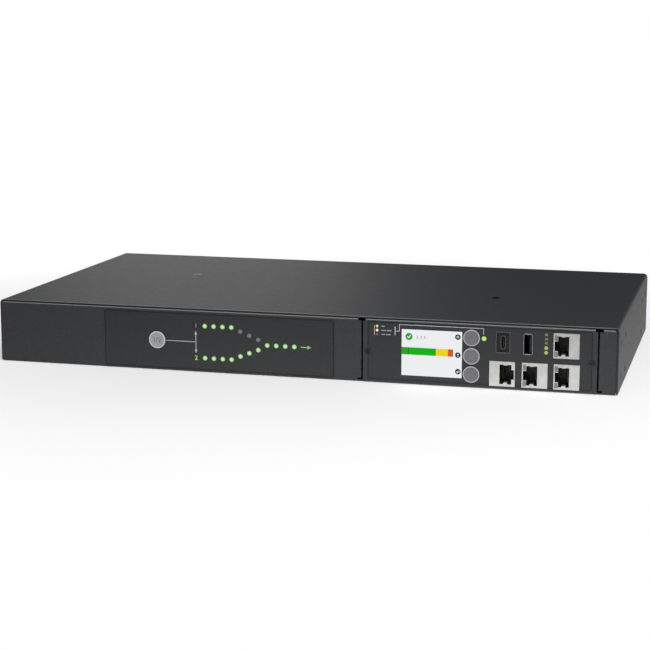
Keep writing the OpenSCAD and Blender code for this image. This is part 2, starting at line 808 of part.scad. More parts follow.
// A bridge that guides the stems of the three keys, standing on the board
module key_holder() color("#1e1f21") {
    w = 9.6;
    wall = 1.2;
    h = 2 * key_pitch + 11;
    plate_y = front_y + 5.5;
    difference() {
        translate([key_x, 0, key_z]) block_y(w, h, plate_y, front_board_y);
        translate([key_x, 0, key_z]) block_y(w - 2 * wall, h - 2 * wall, plate_y + 2.5, front_board_y + 1);
        for (k = [-1:1])
            translate([key_x, 0, key_z + k * key_pitch])
                rod_y(key_stem_r + key_stem_fit, plate_y - 1, plate_y + 4);
    }
}

// A light pipe from the label's face back to its light on the board
module light_pipe(r) {
    rod_y(r, label_y, front_board_y - 1.5);
    block_y(2 * r + 0.4, 2 * r - 0.1, front_board_y - 1.5, front_board_y);
}

module status_light() color("#c6ee6a")
    translate([status_pos[0], 0, status_pos[1]]) light_pipe(status_r);

module level_lights() color("#d9d36a")
    for (k = [-1:1]) translate([level_pos[0], 0, level_pos[1] + k * level_pitch]) light_pipe(level_r);

module link_lights() color("#c3e07a")
    for (k = [-0.5, 0.5]) translate([link_pos[0], 0, link_pos[1] + k * link_pitch]) light_pipe(link_r);

// ---------------------------------------------------------------- ports

// The jack for the inputs is turned round, has a wider opening and has no lights
function has_lights(j) = j[2] < 0;
function mouth_t(j) = has_lights(j) ? plug_t : input_plug_t;
function slot_t(j) = has_lights(j) ? latch_t : input_latch_t;

// Middle of a jack's opening beside the middle of its face, and its height
input_mouth_dx = jack_w / 2 - shield_t - input_wall - input_latch_t - input_plug_t / 2;
function mouth_x(j) = j[0] + j[2] * (has_lights(j) ? jack_mouth_dx : input_mouth_dx);
function mouth_z(j) = j[1] + jack_mouth_dz;

// The outline of a jack's opening in its own place: the plug's room and the
// slot for the plug's latch on the side that the latch points to
module plug_outline(j) {
    translate([mouth_x(j), mouth_z(j)]) {
        square([mouth_t(j), plug_w], center = true);
        translate([j[2] * (mouth_t(j) / 2 + slot_t(j) / 2 - eps), 0])
            square([slot_t(j) + 2 * eps, latch_w], center = true);
    }
}

// The two places of a jack's own lights, beside its latch slot
module at_jack_lights(j) {
    for (s = [-1, 1])
        translate([mouth_x(j) + j[2] * (plug_t / 2 + latch_t / 2 + 0.15), 0,
                   mouth_z(j) + s * jack_light_dz]) children();
}

// Spring fingers of the shield, folded into the opening from above and below
module shield_fingers(j) {
    for (s = [-1, 1]) {
        reach = s > 0 ? finger_reach_up : finger_reach_low;
        inner = plug_w / 2 - reach;
        translate([mouth_x(j), 0, mouth_z(j)]) {
            translate([0, 0, s * (inner + reach / 2)])
                block_y(finger_w, reach + 2 * eps, label_y, label_y + shield_t);
            translate([0, 0, s * (inner + finger_t / 2)])
                block_y(finger_w, finger_t, label_y, label_y + finger_len);
        }
    }
}

module jack_shield(j) {
    y1 = label_y + jack_len;
    difference() {
        translate([j[0], 0, j[1]]) difference() {
            block_y(jack_w, jack_h, label_y, y1);
            block_y(jack_w - 2 * shield_t, jack_h - 2 * shield_t, label_y + shield_t, y1 + 1);
        }
        sweep_y(label_y - 1, label_y + 2) plug_outline(j);
        if (has_lights(j))
            at_jack_lights(j) jack_light(2 * jack_light_gap, label_y - 1, label_y + 2);
    }
    shield_fingers(j);
}

module network_jack() color("#d8d8d5") jack_shield(network_pos);
module input_jack() color("#d8d8d5") jack_shield(input_pos);
module output_jack() color("#d8d8d5") jack_shield(output_pos);
module universal_jack() color("#d8d8d5") jack_shield(universal_pos);

// The moulded insert inside each shield, with the plug's cavity
module jack_inserts() color("#17181a") for (j = jacks) {
    y0 = label_y + shield_t;
    difference() {
        translate([j[0], 0, j[1]])
            block_y(jack_w - 2 * shield_t, jack_h - 2 * shield_t, y0, front_board_y);
        sweep_y(y0 - 1, label_y + plug_depth) plug_outline(j);
        if (has_lights(j))
            at_jack_lights(j) jack_light(0.1, y0 - 1, label_y + jack_light_len);
    }
}

// Eight sprung wires in each cavity, on the side away from the latch
module jack_contacts() color("#d3a84a") for (j = jacks)
    for (i = [0:contact_count - 1])
        translate([mouth_x(j) - j[2] * mouth_t(j) / 2, label_y + contact_depth,
                   mouth_z(j) + (i - (contact_count - 1) / 2) * contact_pitch])
            jack_contact(j[2]);

module jack_contact(side) {
    wire = 0.4;
    reach = 1.7;
    translate([side > 0 ? 0 : -wire, 0, -wire / 2]) cube([wire, plug_depth - contact_depth, wire]);
    translate([side > 0 ? 0 : -reach, 6, -wire / 2]) cube([reach, wire, wire]);
    translate([side > 0 ? reach - wire : -reach, 2, -wire / 2]) cube([wire, 4 + wire, wire]);
}

// A jack's own light, grown by a margin, between two depths
module jack_light(grow, y0, y1) {
    block_y(jack_light_w + grow, jack_light_h + grow, y0, y1);
}

module jack_lights() color("#a9aba6") for (j = jacks)
    if (has_lights(j))
        at_jack_lights(j) jack_light(0, label_y, label_y + jack_light_len);

// The stadium outline of the USB-C shell, standing upright
module stadium(w, h) {
    round_rect(w, h, w / 2 - eps);
}

module usb_c_housing() color("#202124") translate([usb_c_pos[0], 0, usb_c_pos[1]]) difference() {
    block_y(usb_c_frame[0], usb_c_frame[1], label_y - usb_c_lip / 4, front_board_y);
    sweep_y(label_y - 1, label_y + 0.9)
        round_rect(usb_c_frame[0] - 2 * usb_c_lip, usb_c_frame[1] - 2 * usb_c_lip, 0.8);
    sweep_y(label_y - 1, front_board_y + 1) stadium(usb_c_w + 0.1, usb_c_h + 0.1);
}

module usb_c_shell() color("#b5b6b8") translate([usb_c_pos[0], 0, usb_c_pos[1]]) difference() {
    sweep_y(label_y + 0.5, front_board_y) stadium(usb_c_w, usb_c_h);
    sweep_y(label_y - 1, front_board_y - 3) stadium(usb_c_w - 2 * usb_wall, usb_c_h - 2 * usb_wall);
}

module usb_a_shell() color("#b5b6b8") translate([usb_a_pos[0], 0, usb_a_pos[1]]) difference() {
    union() {
        block_y(usb_a_w, usb_a_h, label_y, front_board_y);
        // The small lips above and below the mouth
        block_y(usb_a_w - 1.6, usb_a_h + 2 * usb_a_flare, label_y, label_y + usb_wall);
    }
    block_y(usb_a_w - 2 * usb_wall, usb_a_h - 2 * usb_wall, label_y - 1, front_board_y - 2);
}

module usb_tongues() color("#111214") {
    translate([usb_c_pos[0], 0, usb_c_pos[1]])
        block_y(0.7, usb_c_h - 2.3, label_y + 1.6, front_board_y - 3);
    translate([usb_a_pos[0] + usb_a_w / 2 - usb_wall - 0.95, 0, usb_a_pos[1]])
        block_y(1.8, usb_a_h - 2.1, label_y + 1.5, front_board_y - 2);
}

// ---------------------------------------------------------------- module inside

module management_board() color("#2c5a3c") {
    y0 = front_board_y + board_t;
    y1 = front_y + module_len - 4;
    w = module_w - 14;
    translate([bay_x - w / 2, y0 + 3, module_board_z]) cube([w, y1 - y0 - 3, board_t]);
    // The right-angle connector that joins the two boards
    color("#1b1c1e") translate([bay_x - 30, y0, module_board_z + board_t]) cube([60, 8, 6]);
    // Memory and network chips
    color("#26272a") for (i = [0:3])
        translate([bay_x + 22 + i * 13, y0 + 22, module_board_z + board_t]) cube([9, 11, 1.2]);
}

module processor_heatsink() color("#aeb1b5") {
    fins = 7;
    fin_t = 1.2;
    base_t = 4.5;
    z0 = module_board_z + board_t;
    translate([bay_x - 48, front_y + 44, z0]) {
        cube([heatsink_w, heatsink_w, base_t]);
        for (i = [0:fins - 1])
            translate([i * (heatsink_w - fin_t) / (fins - 1), 0, 0])
                cube([fin_t, heatsink_w, heatsink_h]);
    }
}

module clock_battery() color("#c9cacc") translate([bay_x - 4, front_y + 58, module_board_z + board_t]) {
    holder_t = 1.6;
    cylinder(r = cell_r + 0.4, h = holder_t);
    translate([0, 0, holder_t]) cylinder(r = cell_r, h = 3.2);
}

// A flat cable from the control module across to the power board
module module_ribbon() color("#8d9096") {
    w = 20;
    x0 = power_board_x0 + power_board_w - 8;
    x1 = bay_x - (module_w - 14) / 2 + 8;
    y = front_y + 60;
    low_a = floor_board_z + board_t;
    low_b = module_board_z + board_t;
    top = max(low_a, low_b) + 8;
    translate([x0 - 4, y - w / 2 - 1, low_a]) cube([6, w + 2, top - low_a]);
    translate([x1 - 2, y - w / 2 - 1, low_b]) cube([6, w + 2, top - low_b]);
    translate([x0, y - w / 2, top]) cube([x1 - x0, w, 1]);
}

// ---------------------------------------------------------------- power board

// A corner of the power board with offsets from its front left corner
function on_power(x, y) = [power_board_x0 + x, power_board_y0 + y, floor_board_z + board_t];

// Places of the power board's screws. The last row leaves room for the leads
board_inset = 6;
lead_room = 24;
power_screws = [
    for (x = [board_inset, power_board_w / 2, power_board_w - board_inset],
         y = [board_inset, power_board_d / 2, power_board_d - lead_room])
        [x, y]
];

module main_board() color("#2c5a3c") difference() {
    translate([power_board_x0, power_board_y0, floor_board_z])
        cube([power_board_w, power_board_d, board_t]);
    for (p = power_screws)
        translate([power_board_x0 + p[0], power_board_y0 + p[1], floor_board_z - 1])
            cylinder(r = 1.6, h = board_t + 2);
    translate([post_a[0], post_a[1], floor_board_z - 1]) cylinder(r = 5.2, h = board_t + 2);
}

module board_standoffs() color("#b9babd") {
    for (p = power_screws)
        translate([power_board_x0 + p[0], power_board_y0 + p[1], sheet]) difference() {
            cylinder(r = 3, h = standoff_h);
            translate([0, 0, 1]) cylinder(r = 1.55, h = standoff_h);
        }
    z0 = module_z0 + sheet;
    for (sx = [-1, 1], y = [26, module_len - 10])
        translate([bay_x + sx * (module_w / 2 - 12), front_y + y, z0])
            cylinder(r = 3, h = module_board_z - z0);
}

module board_screws() color("#c4c5c7")
    for (p = power_screws)
        translate(on_power(p[0], p[1])) difference() {
            union() {
                cylinder(r = 2.8, h = 2);
                translate([0, 0, -board_t - 4]) cylinder(r = 1.5, h = board_t + 4);
            }
            translate([0, 0, 2]) cross_recess(1.6, 1.2);
        }

// A relay in its case, with a low rib along the top
module relay() {
    rib_w = 6;
    rib_h = 0.6;
    cube([relay_len, relay_w, relay_h]);
    translate([2, (relay_w - rib_w) / 2, relay_h - eps]) cube([relay_len - 4, rib_w, rib_h + eps]);
}

// The left column of relays starts here, with the same gap all round
relay_x = 18;
relay_y = 108;
relay_gap = 5;

module source_a_relays() color("#20242b") for (k = [0, 1])
    translate(on_power(relay_x, relay_y + k * (relay_w + relay_gap))) relay();

module source_b_relays() color("#20242b") for (k = [0, 1])
    translate(on_power(relay_x + relay_len + relay_gap, relay_y + k * (relay_w + relay_gap))) relay();

// Ring-shaped transformers, each standing on edge in a small base
module current_sensors() color("#23408f") for (k = [0:2])
    translate(on_power(power_board_w / 2 + 14 + k * (2 * sensor_r + 4), 138)) {
        translate([-9, -6, 0]) cube([18, 12, 3]);
        translate([0, 0, sensor_r + 1.5]) rotate([90, 0, 0]) difference() {
            cylinder(r = sensor_r, h = sensor_t, center = true);
            cylinder(r = sensor_hole_r, h = sensor_t + 1, center = true);
        }
    }

module filter_capacitors() color("#c9a531") for (i = [0, 1], k = [0, 1])
    translate(on_power(20 + i * (capacitor_len + 7.5), 66 + k * (capacitor_w + 6)))
        cube([capacitor_len, capacitor_w, capacitor_h]);

module varistors() color("#2f62b0") for (i = [0:3])
    translate(on_power(20 + i * (2 * varistor_r + 2.6), 52)) {
        leg_h = 3;
        translate([0, 0, varistor_r + 1.4]) rotate([90, 0, 0])
            cylinder(r = varistor_r, h = varistor_t, center = true);
        translate([-4, -0.5, 0]) cube([8, 1, leg_h]);
    }

module supply_transformers() color("#e0c34a") for (k = [0, 1])
    translate(on_power(power_board_w - 94 + k * (transformer_w + 16), 40)) {
        foot_h = 3;
        yoke_h = 5;
        cube([transformer_w, transformer_d, foot_h]);
        translate([3, 2, foot_h])
            cube([transformer_w - 6, transformer_d - 4, transformer_h - foot_h - yoke_h]);
        color("#3a3b3e") translate([0, transformer_d / 2 - 5, transformer_h - yoke_h])
            cube([transformer_w, 10, yoke_h]);
    }

// Tube fuses in their clips, two for each source
module input_fuses() color("#d9d9d6") for (i = [0:3])
    translate(on_power(92, 64 + i * 12)) {
        clip_w = 5;
        clip_h = 4;
        for (end = [0, fuse_len - clip_w]) translate([end, -3, 0]) cube([clip_w, 6, clip_h]);
        translate([0, 0, 6]) rotate([0, 90, 0]) cylinder(r = fuse_r, h = fuse_len);
    }

// ---------------------------------------------------------------- rear sockets

// The three flat pins of an inlet: two side by side below, earth above
blade_places = [[-blade_dx, -blade_dz], [blade_dx, -blade_dz], [0, blade_dz]];

module inlet(x) {
    y_in = rear_y - inlet_body_len;
    translate([x, 0, socket_z]) difference() {
        union() {
            sweep_y(rear_y, rear_y + flange_t) round_rect(inlet_flange_w, flange_h, 2);
            block_y(inlet_body_w, socket_body_h, y_in, rear_y + eps);
        }
        sweep_y(rear_y - inlet_depth, rear_y + flange_t + 1) round_rect(inlet_w, inlet_h, 1.5);
        for (p = blade_places)
            translate([p[0], 0, p[1]]) block_y(blade_w, blade_t, y_in - 1, rear_y);
    }
}

module inlet_a() color("#151618") inlet(inlet_a_x);
module inlet_b() color("#151618") inlet(inlet_b_x);

module inlet_pins() color("#c8c6be") for (x = [inlet_a_x, inlet_b_x], p = blade_places)
    translate([x + p[0], 0, socket_z + p[1]])
        block_y(blade_w, blade_t, rear_y - inlet_body_len - 9, rear_y - 2);

// A chamfered outline: the earth side of an outlet has its corners cut off
module keyed_outline(w, h, cut) {
    polygon([[-w / 2, -h / 2], [w / 2, -h / 2], [w / 2, h / 2 - cut], [w / 2 - cut, h / 2],
             [-w / 2 + cut, h / 2], [-w / 2, h / 2 - cut]]);
}

// What is cut out of a body for one outlet: the groove that a plug's shroud
// enters, and three slots for its pins
module outlet_cut() {
    sweep_y(rear_y - outlet_depth, rear_y + flange_t + 1) difference() {
        keyed_outline(28.4, 20.6, 5.6);
        keyed_outline(24, 16, 4.6);
    }
    for (p = [[-7, -2], [7, -2], [0, 2]])
        translate([p[0], 0, p[1]]) block_y(2.4, 4.6, rear_y - outlet_depth, rear_y + flange_t + 1);
}

module outlet_bank(x) {
    y_in = rear_y - outlet_body_len;
    translate([x, 0, socket_z]) difference() {
        union() {
            sweep_y(rear_y, rear_y + flange_t) round_rect(bank_flange_w, flange_h, 2);
            block_y(bank_w, socket_body_h, y_in, rear_y + eps);
        }
        for (i = [0:3]) translate([(i - 1.5) * outlet_pitch, 0, 0]) outlet_cut();
    }
}

module outlet_bank_1() color("#151618") outlet_bank(bank_1_x);
module outlet_bank_2() color("#151618") outlet_bank(bank_2_x);

module large_outlet() color("#151618") {
    y_in = rear_y - outlet_body_len;
    translate([large_outlet_x, 0, socket_z]) difference() {
        union() {
            sweep_y(rear_y, rear_y + flange_t) round_rect(inlet_flange_w, flange_h, 2);
            block_y(inlet_body_w, socket_body_h, y_in, rear_y + eps);
        }
        sweep_y(rear_y - outlet_depth, rear_y + flange_t + 1) difference() {
            square([inlet_w, inlet_h], center = true);
            square([inlet_w - 4.4, inlet_h - 4.4], center = true);
        }
        for (p = blade_places)
            translate([p[0], 0, p[1]])
                block_y(blade_w + 0.4, blade_t + 0.4, rear_y - outlet_depth, rear_y + 3);
    }
}

// Three brass strips along the backs of the outlets, held by pads on each body
module outlet_busbars() color("#c9a24d") {
    y1 = rear_y - outlet_body_len;
    x0 = bank_1_x - bank_w / 2 + 4;
    x1 = large_outlet_x + inlet_body_w / 2 - 4;
    for (k = [-1:1])
        translate([x0, y1 - 1.2, socket_z + k * strip_pitch - 2.5]) cube([x1 - x0, 1.2, 5]);
}

// A round lead through a list of points, with a ball at each bend
module lead(points, r) {
    for (i = [0:len(points) - 2]) {
        a = points[i];
        b = points[i + 1];
        d = b - a;
        translate(a) rotate([0, acos(d[2] / norm(d)), atan2(d[1], d[0])])
            cylinder(r = r, h = norm(d), $fn = 24);
        if (i > 0) translate(a) sphere(r = r, $fn = 24);
    }
}

// Leads from the pins of each inlet down to the power board, and from the board
// up to the brass strips behind the outlets
module power_leads() color("#7a3b2c") {
    r = 1.6;
    board_top = floor_board_z + board_t;
    strip_y = rear_y - outlet_body_len - 1.2;
    for (k = [-1:1]) {
        x = bank_1_x - 30 + k * 12;
        drop_y = strip_y - 18 - 4 * k;
        z = socket_z + k * strip_pitch;
        lead([[x, strip_y, z], [x, drop_y, z], [x, drop_y, board_top]], r);
    }
    tab_y = rear_y - inlet_body_len - 9;
    for (x = [inlet_a_x, inlet_b_x], i = [0:2]) {
        p = blade_places[i];
        drop_y = tab_y - 5 - i * 4;
        z = socket_z + p[1];
        lead([[x + p[0], tab_y, z], [x + p[0], drop_y, z],
              [x + p[0], drop_y, board_top]], r);
    }
}

module earth_screw() color("#c9b35c") translate([earth_x, 0, socket_z]) {
    difference() {
        union() {
            rod_y(5, rear_y, rear_y + 0.8);
            rod_y(3.8, rear_y + 0.8, rear_y + 3);
            rod_y(1.9, rear_y - 8, rear_y + 1);
        }
        translate([0, rear_y + 3, 0]) rotate([-90, 0, 0]) cross_recess(2, 1.4);
    }
    translate([0, rear_y - sheet - 3, 0]) rotate([-90, 0, 0]) difference() {
        cylinder(r = 4.04, h = 3, $fn = 6);
        translate([0, 0, -1]) cylinder(r = 1.9, h = 5);
    }
}

// ---------------------------------------------------------------- nodes

base_tray();
top_cover();
cover_screws();
cover_posts();
bay_brackets();
front_overlay();
mimic_lights_lit();
mimic_lights_dim();
preference_button();
display_board();
display_standoffs();
display_ribbon();
tact_switches();
module_chassis();
module_overlay();
module_screws();
module_front_board();
lcd_panel();
lcd_frame();
menu_key();
scroll_key();
select_key();
key_holder();
status_light();
level_lights();
link_lights();
network_jack();
input_jack();
output_jack();
universal_jack();
jack_inserts();
jack_contacts();
jack_lights();
usb_c_housing();
usb_c_shell();
usb_a_shell();
usb_tongues();
management_board();
processor_heatsink();
clock_battery();
module_ribbon();
main_board();
board_standoffs();
board_screws();
source_a_relays();
source_b_relays();
current_sensors();
filter_capacitors();
varistors();
supply_transformers();
input_fuses();
inlet_a();
inlet_b();
inlet_pins();
power_leads();
outlet_bank_1();
outlet_bank_2();
large_outlet();
outlet_busbars();
earth_screw();
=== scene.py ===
import math

import bpy
import numpy as np
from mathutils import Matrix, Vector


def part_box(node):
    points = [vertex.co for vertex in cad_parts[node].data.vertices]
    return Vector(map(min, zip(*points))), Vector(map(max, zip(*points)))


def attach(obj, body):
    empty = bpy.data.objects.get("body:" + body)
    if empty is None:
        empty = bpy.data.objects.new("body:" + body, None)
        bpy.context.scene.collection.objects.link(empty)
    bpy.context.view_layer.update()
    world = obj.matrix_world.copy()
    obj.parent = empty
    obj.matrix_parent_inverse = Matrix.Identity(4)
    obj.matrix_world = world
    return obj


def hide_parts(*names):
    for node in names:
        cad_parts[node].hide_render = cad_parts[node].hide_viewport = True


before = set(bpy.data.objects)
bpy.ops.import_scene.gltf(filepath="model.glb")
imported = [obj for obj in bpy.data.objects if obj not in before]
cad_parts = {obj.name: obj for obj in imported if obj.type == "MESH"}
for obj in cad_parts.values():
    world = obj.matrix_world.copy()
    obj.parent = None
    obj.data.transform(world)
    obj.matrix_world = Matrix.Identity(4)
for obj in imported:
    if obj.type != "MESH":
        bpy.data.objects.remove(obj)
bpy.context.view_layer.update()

# ---------------------------------------------------------------- camera
# The switch is seen from a little right of its front and a little above, with a
# fairly long lens, so its far edges run back with mild perspective.
DOWN, LEFTWARDS = 10.686, 14.973      # degrees below level, and left of straight back
camera = bpy.data.objects.new("camera", bpy.data.cameras.new("camera"))
bpy.context.scene.collection.objects.link(camera)
camera.data.lens = 93.18
camera.data.sensor_width = 36
camera.data.clip_start = 0.02
camera.location = (0.30687, -1.18603, 0.24564)
camera.rotation_euler = (math.radians(90 - DOWN), 0, math.radians(LEFTWARDS))
bpy.context.scene.camera = camera
bpy.context.scene.view_settings.view_transform = "Standard"

# ---------------------------------------------------------------- folded steel
# The tray, the cover and the module's front are folded from 1.2 mm sheet steel,
# coated with baked black powder. It gives a soft sheen broken up by a fine grit.
MM = 0.001
COAT_GREY = "#2C2D2F"
COAT_SPECK = "#36373A"
GRIT = 1.1 * MM           # real grit is about 0.3 mm, drawn coarser so that it shows
GRIT_HEIGHT = 0.05 * MM
FLOW = 4.5 * MM           # size of the slow waves where the powder flowed
SEAM_SHADE_GREY = "#101011"     # painted shade in the gap between the cover and the front


def linear(code):
    """The linear RGBA of an sRGB hex code: each channel c becomes c / 12.92 below 0.04045,
    and ((c + 0.055) / 1.055) to the power of 2.4 above."""
    c = np.array([int(code[i:i + 2], 16) for i in (1, 3, 5)]) / 255
    low = c / 12.92
    high = ((c + 0.055) / 1.055) ** 2.4
    return tuple(np.where(c <= 0.04045, low, high)) + (1.0,)


def add(tree, kind, feeds=(), **settings):
    """Adds one node. A setting is a property of the node or the value of the input with
    that name (underscores for spaces). A feed is an input, by name or number, and what
    it gets: an output socket to link, or a plain value."""
    made = tree.nodes.new(kind)
    for name, value in settings.items():
        if hasattr(made, name):
            setattr(made, name, value)
        else:
            made.inputs[name.replace("_", " ")].default_value = value
    for name, source in feeds:
        if isinstance(source, bpy.types.NodeSocket):
            tree.links.new(source, made.inputs[name])
        else:
            made.inputs[name].default_value = source
    return made


def new_material(name, **shader):
    """A material with one Principled shader: returns it, its tree and the shader."""
    material = bpy.data.materials.new(name)
    material.use_nodes = True
    tree = material.node_tree
    tree.nodes.clear()
    body = add(tree, "ShaderNodeBsdfPrincipled", **shader)
    add(tree, "ShaderNodeOutputMaterial", [("Surface", body.outputs[0])])
    return material, tree, body


def dress(material, *names):
    """Gives CAD nodes their finish, in every material slot that they have."""
    for name in names:
        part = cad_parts[name]
        if not part.material_slots:
            part.data.materials.append(material)
        for holder in part.material_slots:
            holder.material = material


def two_tone(tree, place, size, dark, light, low=0.35, high=0.65, detail=2.0):
    """Noise of one grain size in metres, spread between two colours. Returns the noise
    and the colour."""
    cloud = add(tree, "ShaderNodeTexNoise", [("Vector", place)], Scale=1 / size, Detail=detail)
    ramp = add(tree, "ShaderNodeValToRGB", [("Fac", cloud.outputs[0])])
    ramp.color_ramp.elements[0].position = low
    ramp.color_ramp.elements[1].position = high
    ramp.color_ramp.elements[0].color = linear(dark)
    ramp.color_ramp.elements[1].color = linear(light)
    return cloud.outputs[0], ramp.outputs[0]


# Powder coat: rounded grit scatters the light, so highlights are broad and soft
powder_coat, tree, body = new_material("powder_coated_steel_black", Roughness=0.5)
place = add(tree, "ShaderNodeTexCoord").outputs["Object"]
grit, colour = two_tone(tree, place, GRIT, COAT_GREY, COAT_SPECK, 0.42, 0.8)
tree.links.new(colour, body.inputs["Base Color"])
flow = add(tree, "ShaderNodeTexNoise", [("Vector", place)], Scale=1 / FLOW, Detail=1.0)
sheen = add(tree, "ShaderNodeMapRange", [("Value", flow.outputs[0])],
            From_Min=0.3, From_Max=0.7, To_Min=0.49, To_Max=0.53)
tree.links.new(sheen.outputs[0], body.inputs["Roughness"])
bumps = add(tree, "ShaderNodeBump", [("Height", grit)], Distance=GRIT_HEIGHT, Strength=0.14)
tree.links.new(bumps.outputs[0], body.inputs["Normal"])
dress(powder_coat, "bay_brackets")


def band(tree, value, low, high, soft=0.1 * MM):
    """1 where a value lies between low and high: the distance from their middle falls
    from 1 to 0 over the soft width outside half of high - low."""
    off = add(tree, "ShaderNodeMath", [(0, value), (1, (low + high) / 2)], operation="SUBTRACT")
    far = add(tree, "ShaderNodeMath", [(0, off.outputs[0])], operation="ABSOLUTE")
    half = (high - low) / 2
    return add(tree, "ShaderNodeMapRange", [("Value", far.outputs[0])],
               From_Min=half + soft, From_Max=half).outputs[0]


def painted_edge_light_coat(name, node, highlight_tone, line, seam):
    """The same coat along a node's front edge: paler inside line, a painted highlight where the
    bend catches light, and dark inside seam, painted shade. Each is (y from, y to, z from,
    z to) in millimetres, with y counted from the node's front and z from its top."""
    low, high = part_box(node)
    coat = powder_coat.copy()
    coat.name = name
    tree = coat.node_tree
    body = [n for n in tree.nodes if n.bl_idname == "ShaderNodeBsdfPrincipled"][0]
    place = add(tree, "ShaderNodeTexCoord").outputs["Object"]
    spot = add(tree, "ShaderNodeSeparateXYZ", [("Vector", place)])
    colour = body.inputs["Base Color"].links[0].from_socket
    # painted highlight along the edge, then painted shade in the seam
    for (y0, y1, z0, z1), shade in ((line, highlight_tone), (seam, SEAM_SHADE_GREY)):
        deep = band(tree, spot.outputs[1], low[1] + y0 * MM, low[1] + y1 * MM)
        level = band(tree, spot.outputs[2], high[2] + z0 * MM, high[2] + z1 * MM)
        inside = add(tree, "ShaderNodeMath", [(0, deep), (1, level)], operation="MULTIPLY")
        colour = add(tree, "ShaderNodeMix", [(0, inside.outputs[0]), (6, colour),
                                             (7, linear(shade))], data_type="RGBA").outputs[2]
    tree.links.new(colour, body.inputs["Base Color"])
    return coat


# Painted highlight and shade: the tray's and the module's front bend, and the front edge of
# the cover, draw two thin pale lines where they catch the light, with painted shade in the seam
# between them
dress(painted_edge_light_coat("powder_coated_steel_painted_bend_highlight", "base_tray", "#7F8185",
                  (-1.0, 0.8, -0.5, 0.0), (1.1, 3.0, -0.4, 1.0)),
      "base_tray", "module_chassis")
dress(painted_edge_light_coat("powder_coated_steel_painted_edge_highlight", "top_cover", "#77797C",
                  (-1.0, 0.2, -0.3, 0.0), (-1.0, 0.1, -1.3, -0.5)),
      "top_cover")

# ---------------------------------------------------------------- fixings
# Countersunk screws with a cross recess hold the cover and the module. They are
# steel, blackened in hot oxide and oiled, which leaves them dark and satin.
SMUT = 0.8 * MM           # cloudy patches where the oxide is thicker or thinner


def clouded(name, grain, dark, light, depth=0.0, strength=0.0, into="Base Color", **shader):
    """A finish whose colour clouds between two over grains of one size, and whose surface
    rises with the same grains by depth, both in metres. Nothing else varies over it."""
    material, tree, body = new_material(name, **shader)
    place = add(tree, "ShaderNodeTexCoord").outputs["Object"]
    cloud, colour = two_tone(tree, place, grain, dark, light)
    tree.links.new(colour, body.inputs[into])
    if depth:
        bumps = add(tree, "ShaderNodeBump", [("Height", cloud)], Distance=depth, Strength=strength)
        tree.links.new(bumps.outputs[0], body.inputs["Normal"])
    return material


# The module screws take a lighter copy of the same oxide: painted light, not a different finish
for name, dark, light, screws in (
        ("black_oxide_steel", "#151618", "#2C2D30", "cover_screws"),
        ("black_oxide_steel_painted_lighter", "#37383B", "#4E5054", "module_screws")):
    dress(clouded(name, SMUT, dark, light, 0.04 * MM, 0.4, Metallic=1.0, Roughness=0.38), screws)

# Posts, stand-offs and board screws inside are bright zinc plate, which has a faint
# crystal pattern a few millimetres across
CRYSTAL = 3 * MM
zinc, tree, body = new_material("zinc_plated_steel", Metallic=1.0, Roughness=0.32)
place = add(tree, "ShaderNodeTexCoord").outputs["Object"]
crystal = add(tree, "ShaderNodeTexVoronoi", [("Vector", place)], Scale=1 / CRYSTAL)
tint = add(tree, "ShaderNodeMix", [(0, crystal.outputs["Color"]), (6, linear("#B9BBC0")),
                                   (7, linear("#D6D8DB"))], data_type="RGBA")
tree.links.new(tint.outputs[2], body.inputs["Base Color"])
dull = add(tree, "ShaderNodeMapRange", [("Value", crystal.outputs["Distance"])],
           To_Min=0.27, To_Max=0.4)
tree.links.new(dull.outputs[0], body.inputs["Roughness"])
dress(zinc, "cover_posts", "board_standoffs", "display_standoffs", "board_screws")

# ---------------------------------------------------------------- labels
# Both labels are dark polyester film, 0.25 mm thick, printed from behind and
# stuck on the steel. The film's outer side is finely frosted.
FROST = 1.3 * MM          # real frosting is about 0.05 mm, drawn coarser so that it shows
EDGE_SHADE_BAND = 0.9 * MM      # painted shade along the film's cut edge


def film_material(name, low, high):
    """Frosted film with painted shade along its cut edge: darker where the larger of
    |x - middle| - half width and the same for z is within the edge band."""
    film, tree, body = new_material(name, Roughness=0.42)
    place = add(tree, "ShaderNodeTexCoord").outputs["Object"]
    frost, colour = two_tone(tree, place, FROST, "#252628", "#2D2E30", 0.4, 0.7)
    spot = add(tree, "ShaderNodeSeparateXYZ", [("Vector", place)])
    reach = []
    for axis in (0, 2):
        off = add(tree, "ShaderNodeMath", [(0, spot.outputs[axis]), (1, (low[axis] + high[axis]) / 2)],
                  operation="SUBTRACT")
        far = add(tree, "ShaderNodeMath", [(0, off.outputs[0])], operation="ABSOLUTE")
        past = add(tree, "ShaderNodeMath", [(0, far.outputs[0]), (1, (high[axis] - low[axis]) / 2)],
                   operation="SUBTRACT")
        reach.append(past.outputs[0])
    nearest = add(tree, "ShaderNodeMath", [(0, reach[0]), (1, reach[1])], operation="MAXIMUM")
    # painted shade: darker towards the film's cut edge
    edge = add(tree, "ShaderNodeMapRange", [("Value", nearest.outputs[0])],
               From_Min=-EDGE_SHADE_BAND, From_Max=-0.6 * EDGE_SHADE_BAND)
    mixed = add(tree, "ShaderNodeMix", [(0, edge.outputs[0]), (6, colour), (7, linear("#0C0C0D"))],
                data_type="RGBA")
    tree.links.new(mixed.outputs[2], body.inputs["Base Color"])
    bumps = add(tree, "ShaderNodeBump", [("Height", frost)], Distance=0.03 * MM, Strength=0.35)
    tree.links.new(bumps.outputs[0], body.inputs["Normal"])
    return film


dress(film_material("frosted_polyester_film_display", *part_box("front_overlay")), "front_overlay")
dress(film_material("frosted_polyester_film_module", *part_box("module_overlay")), "module_overlay")

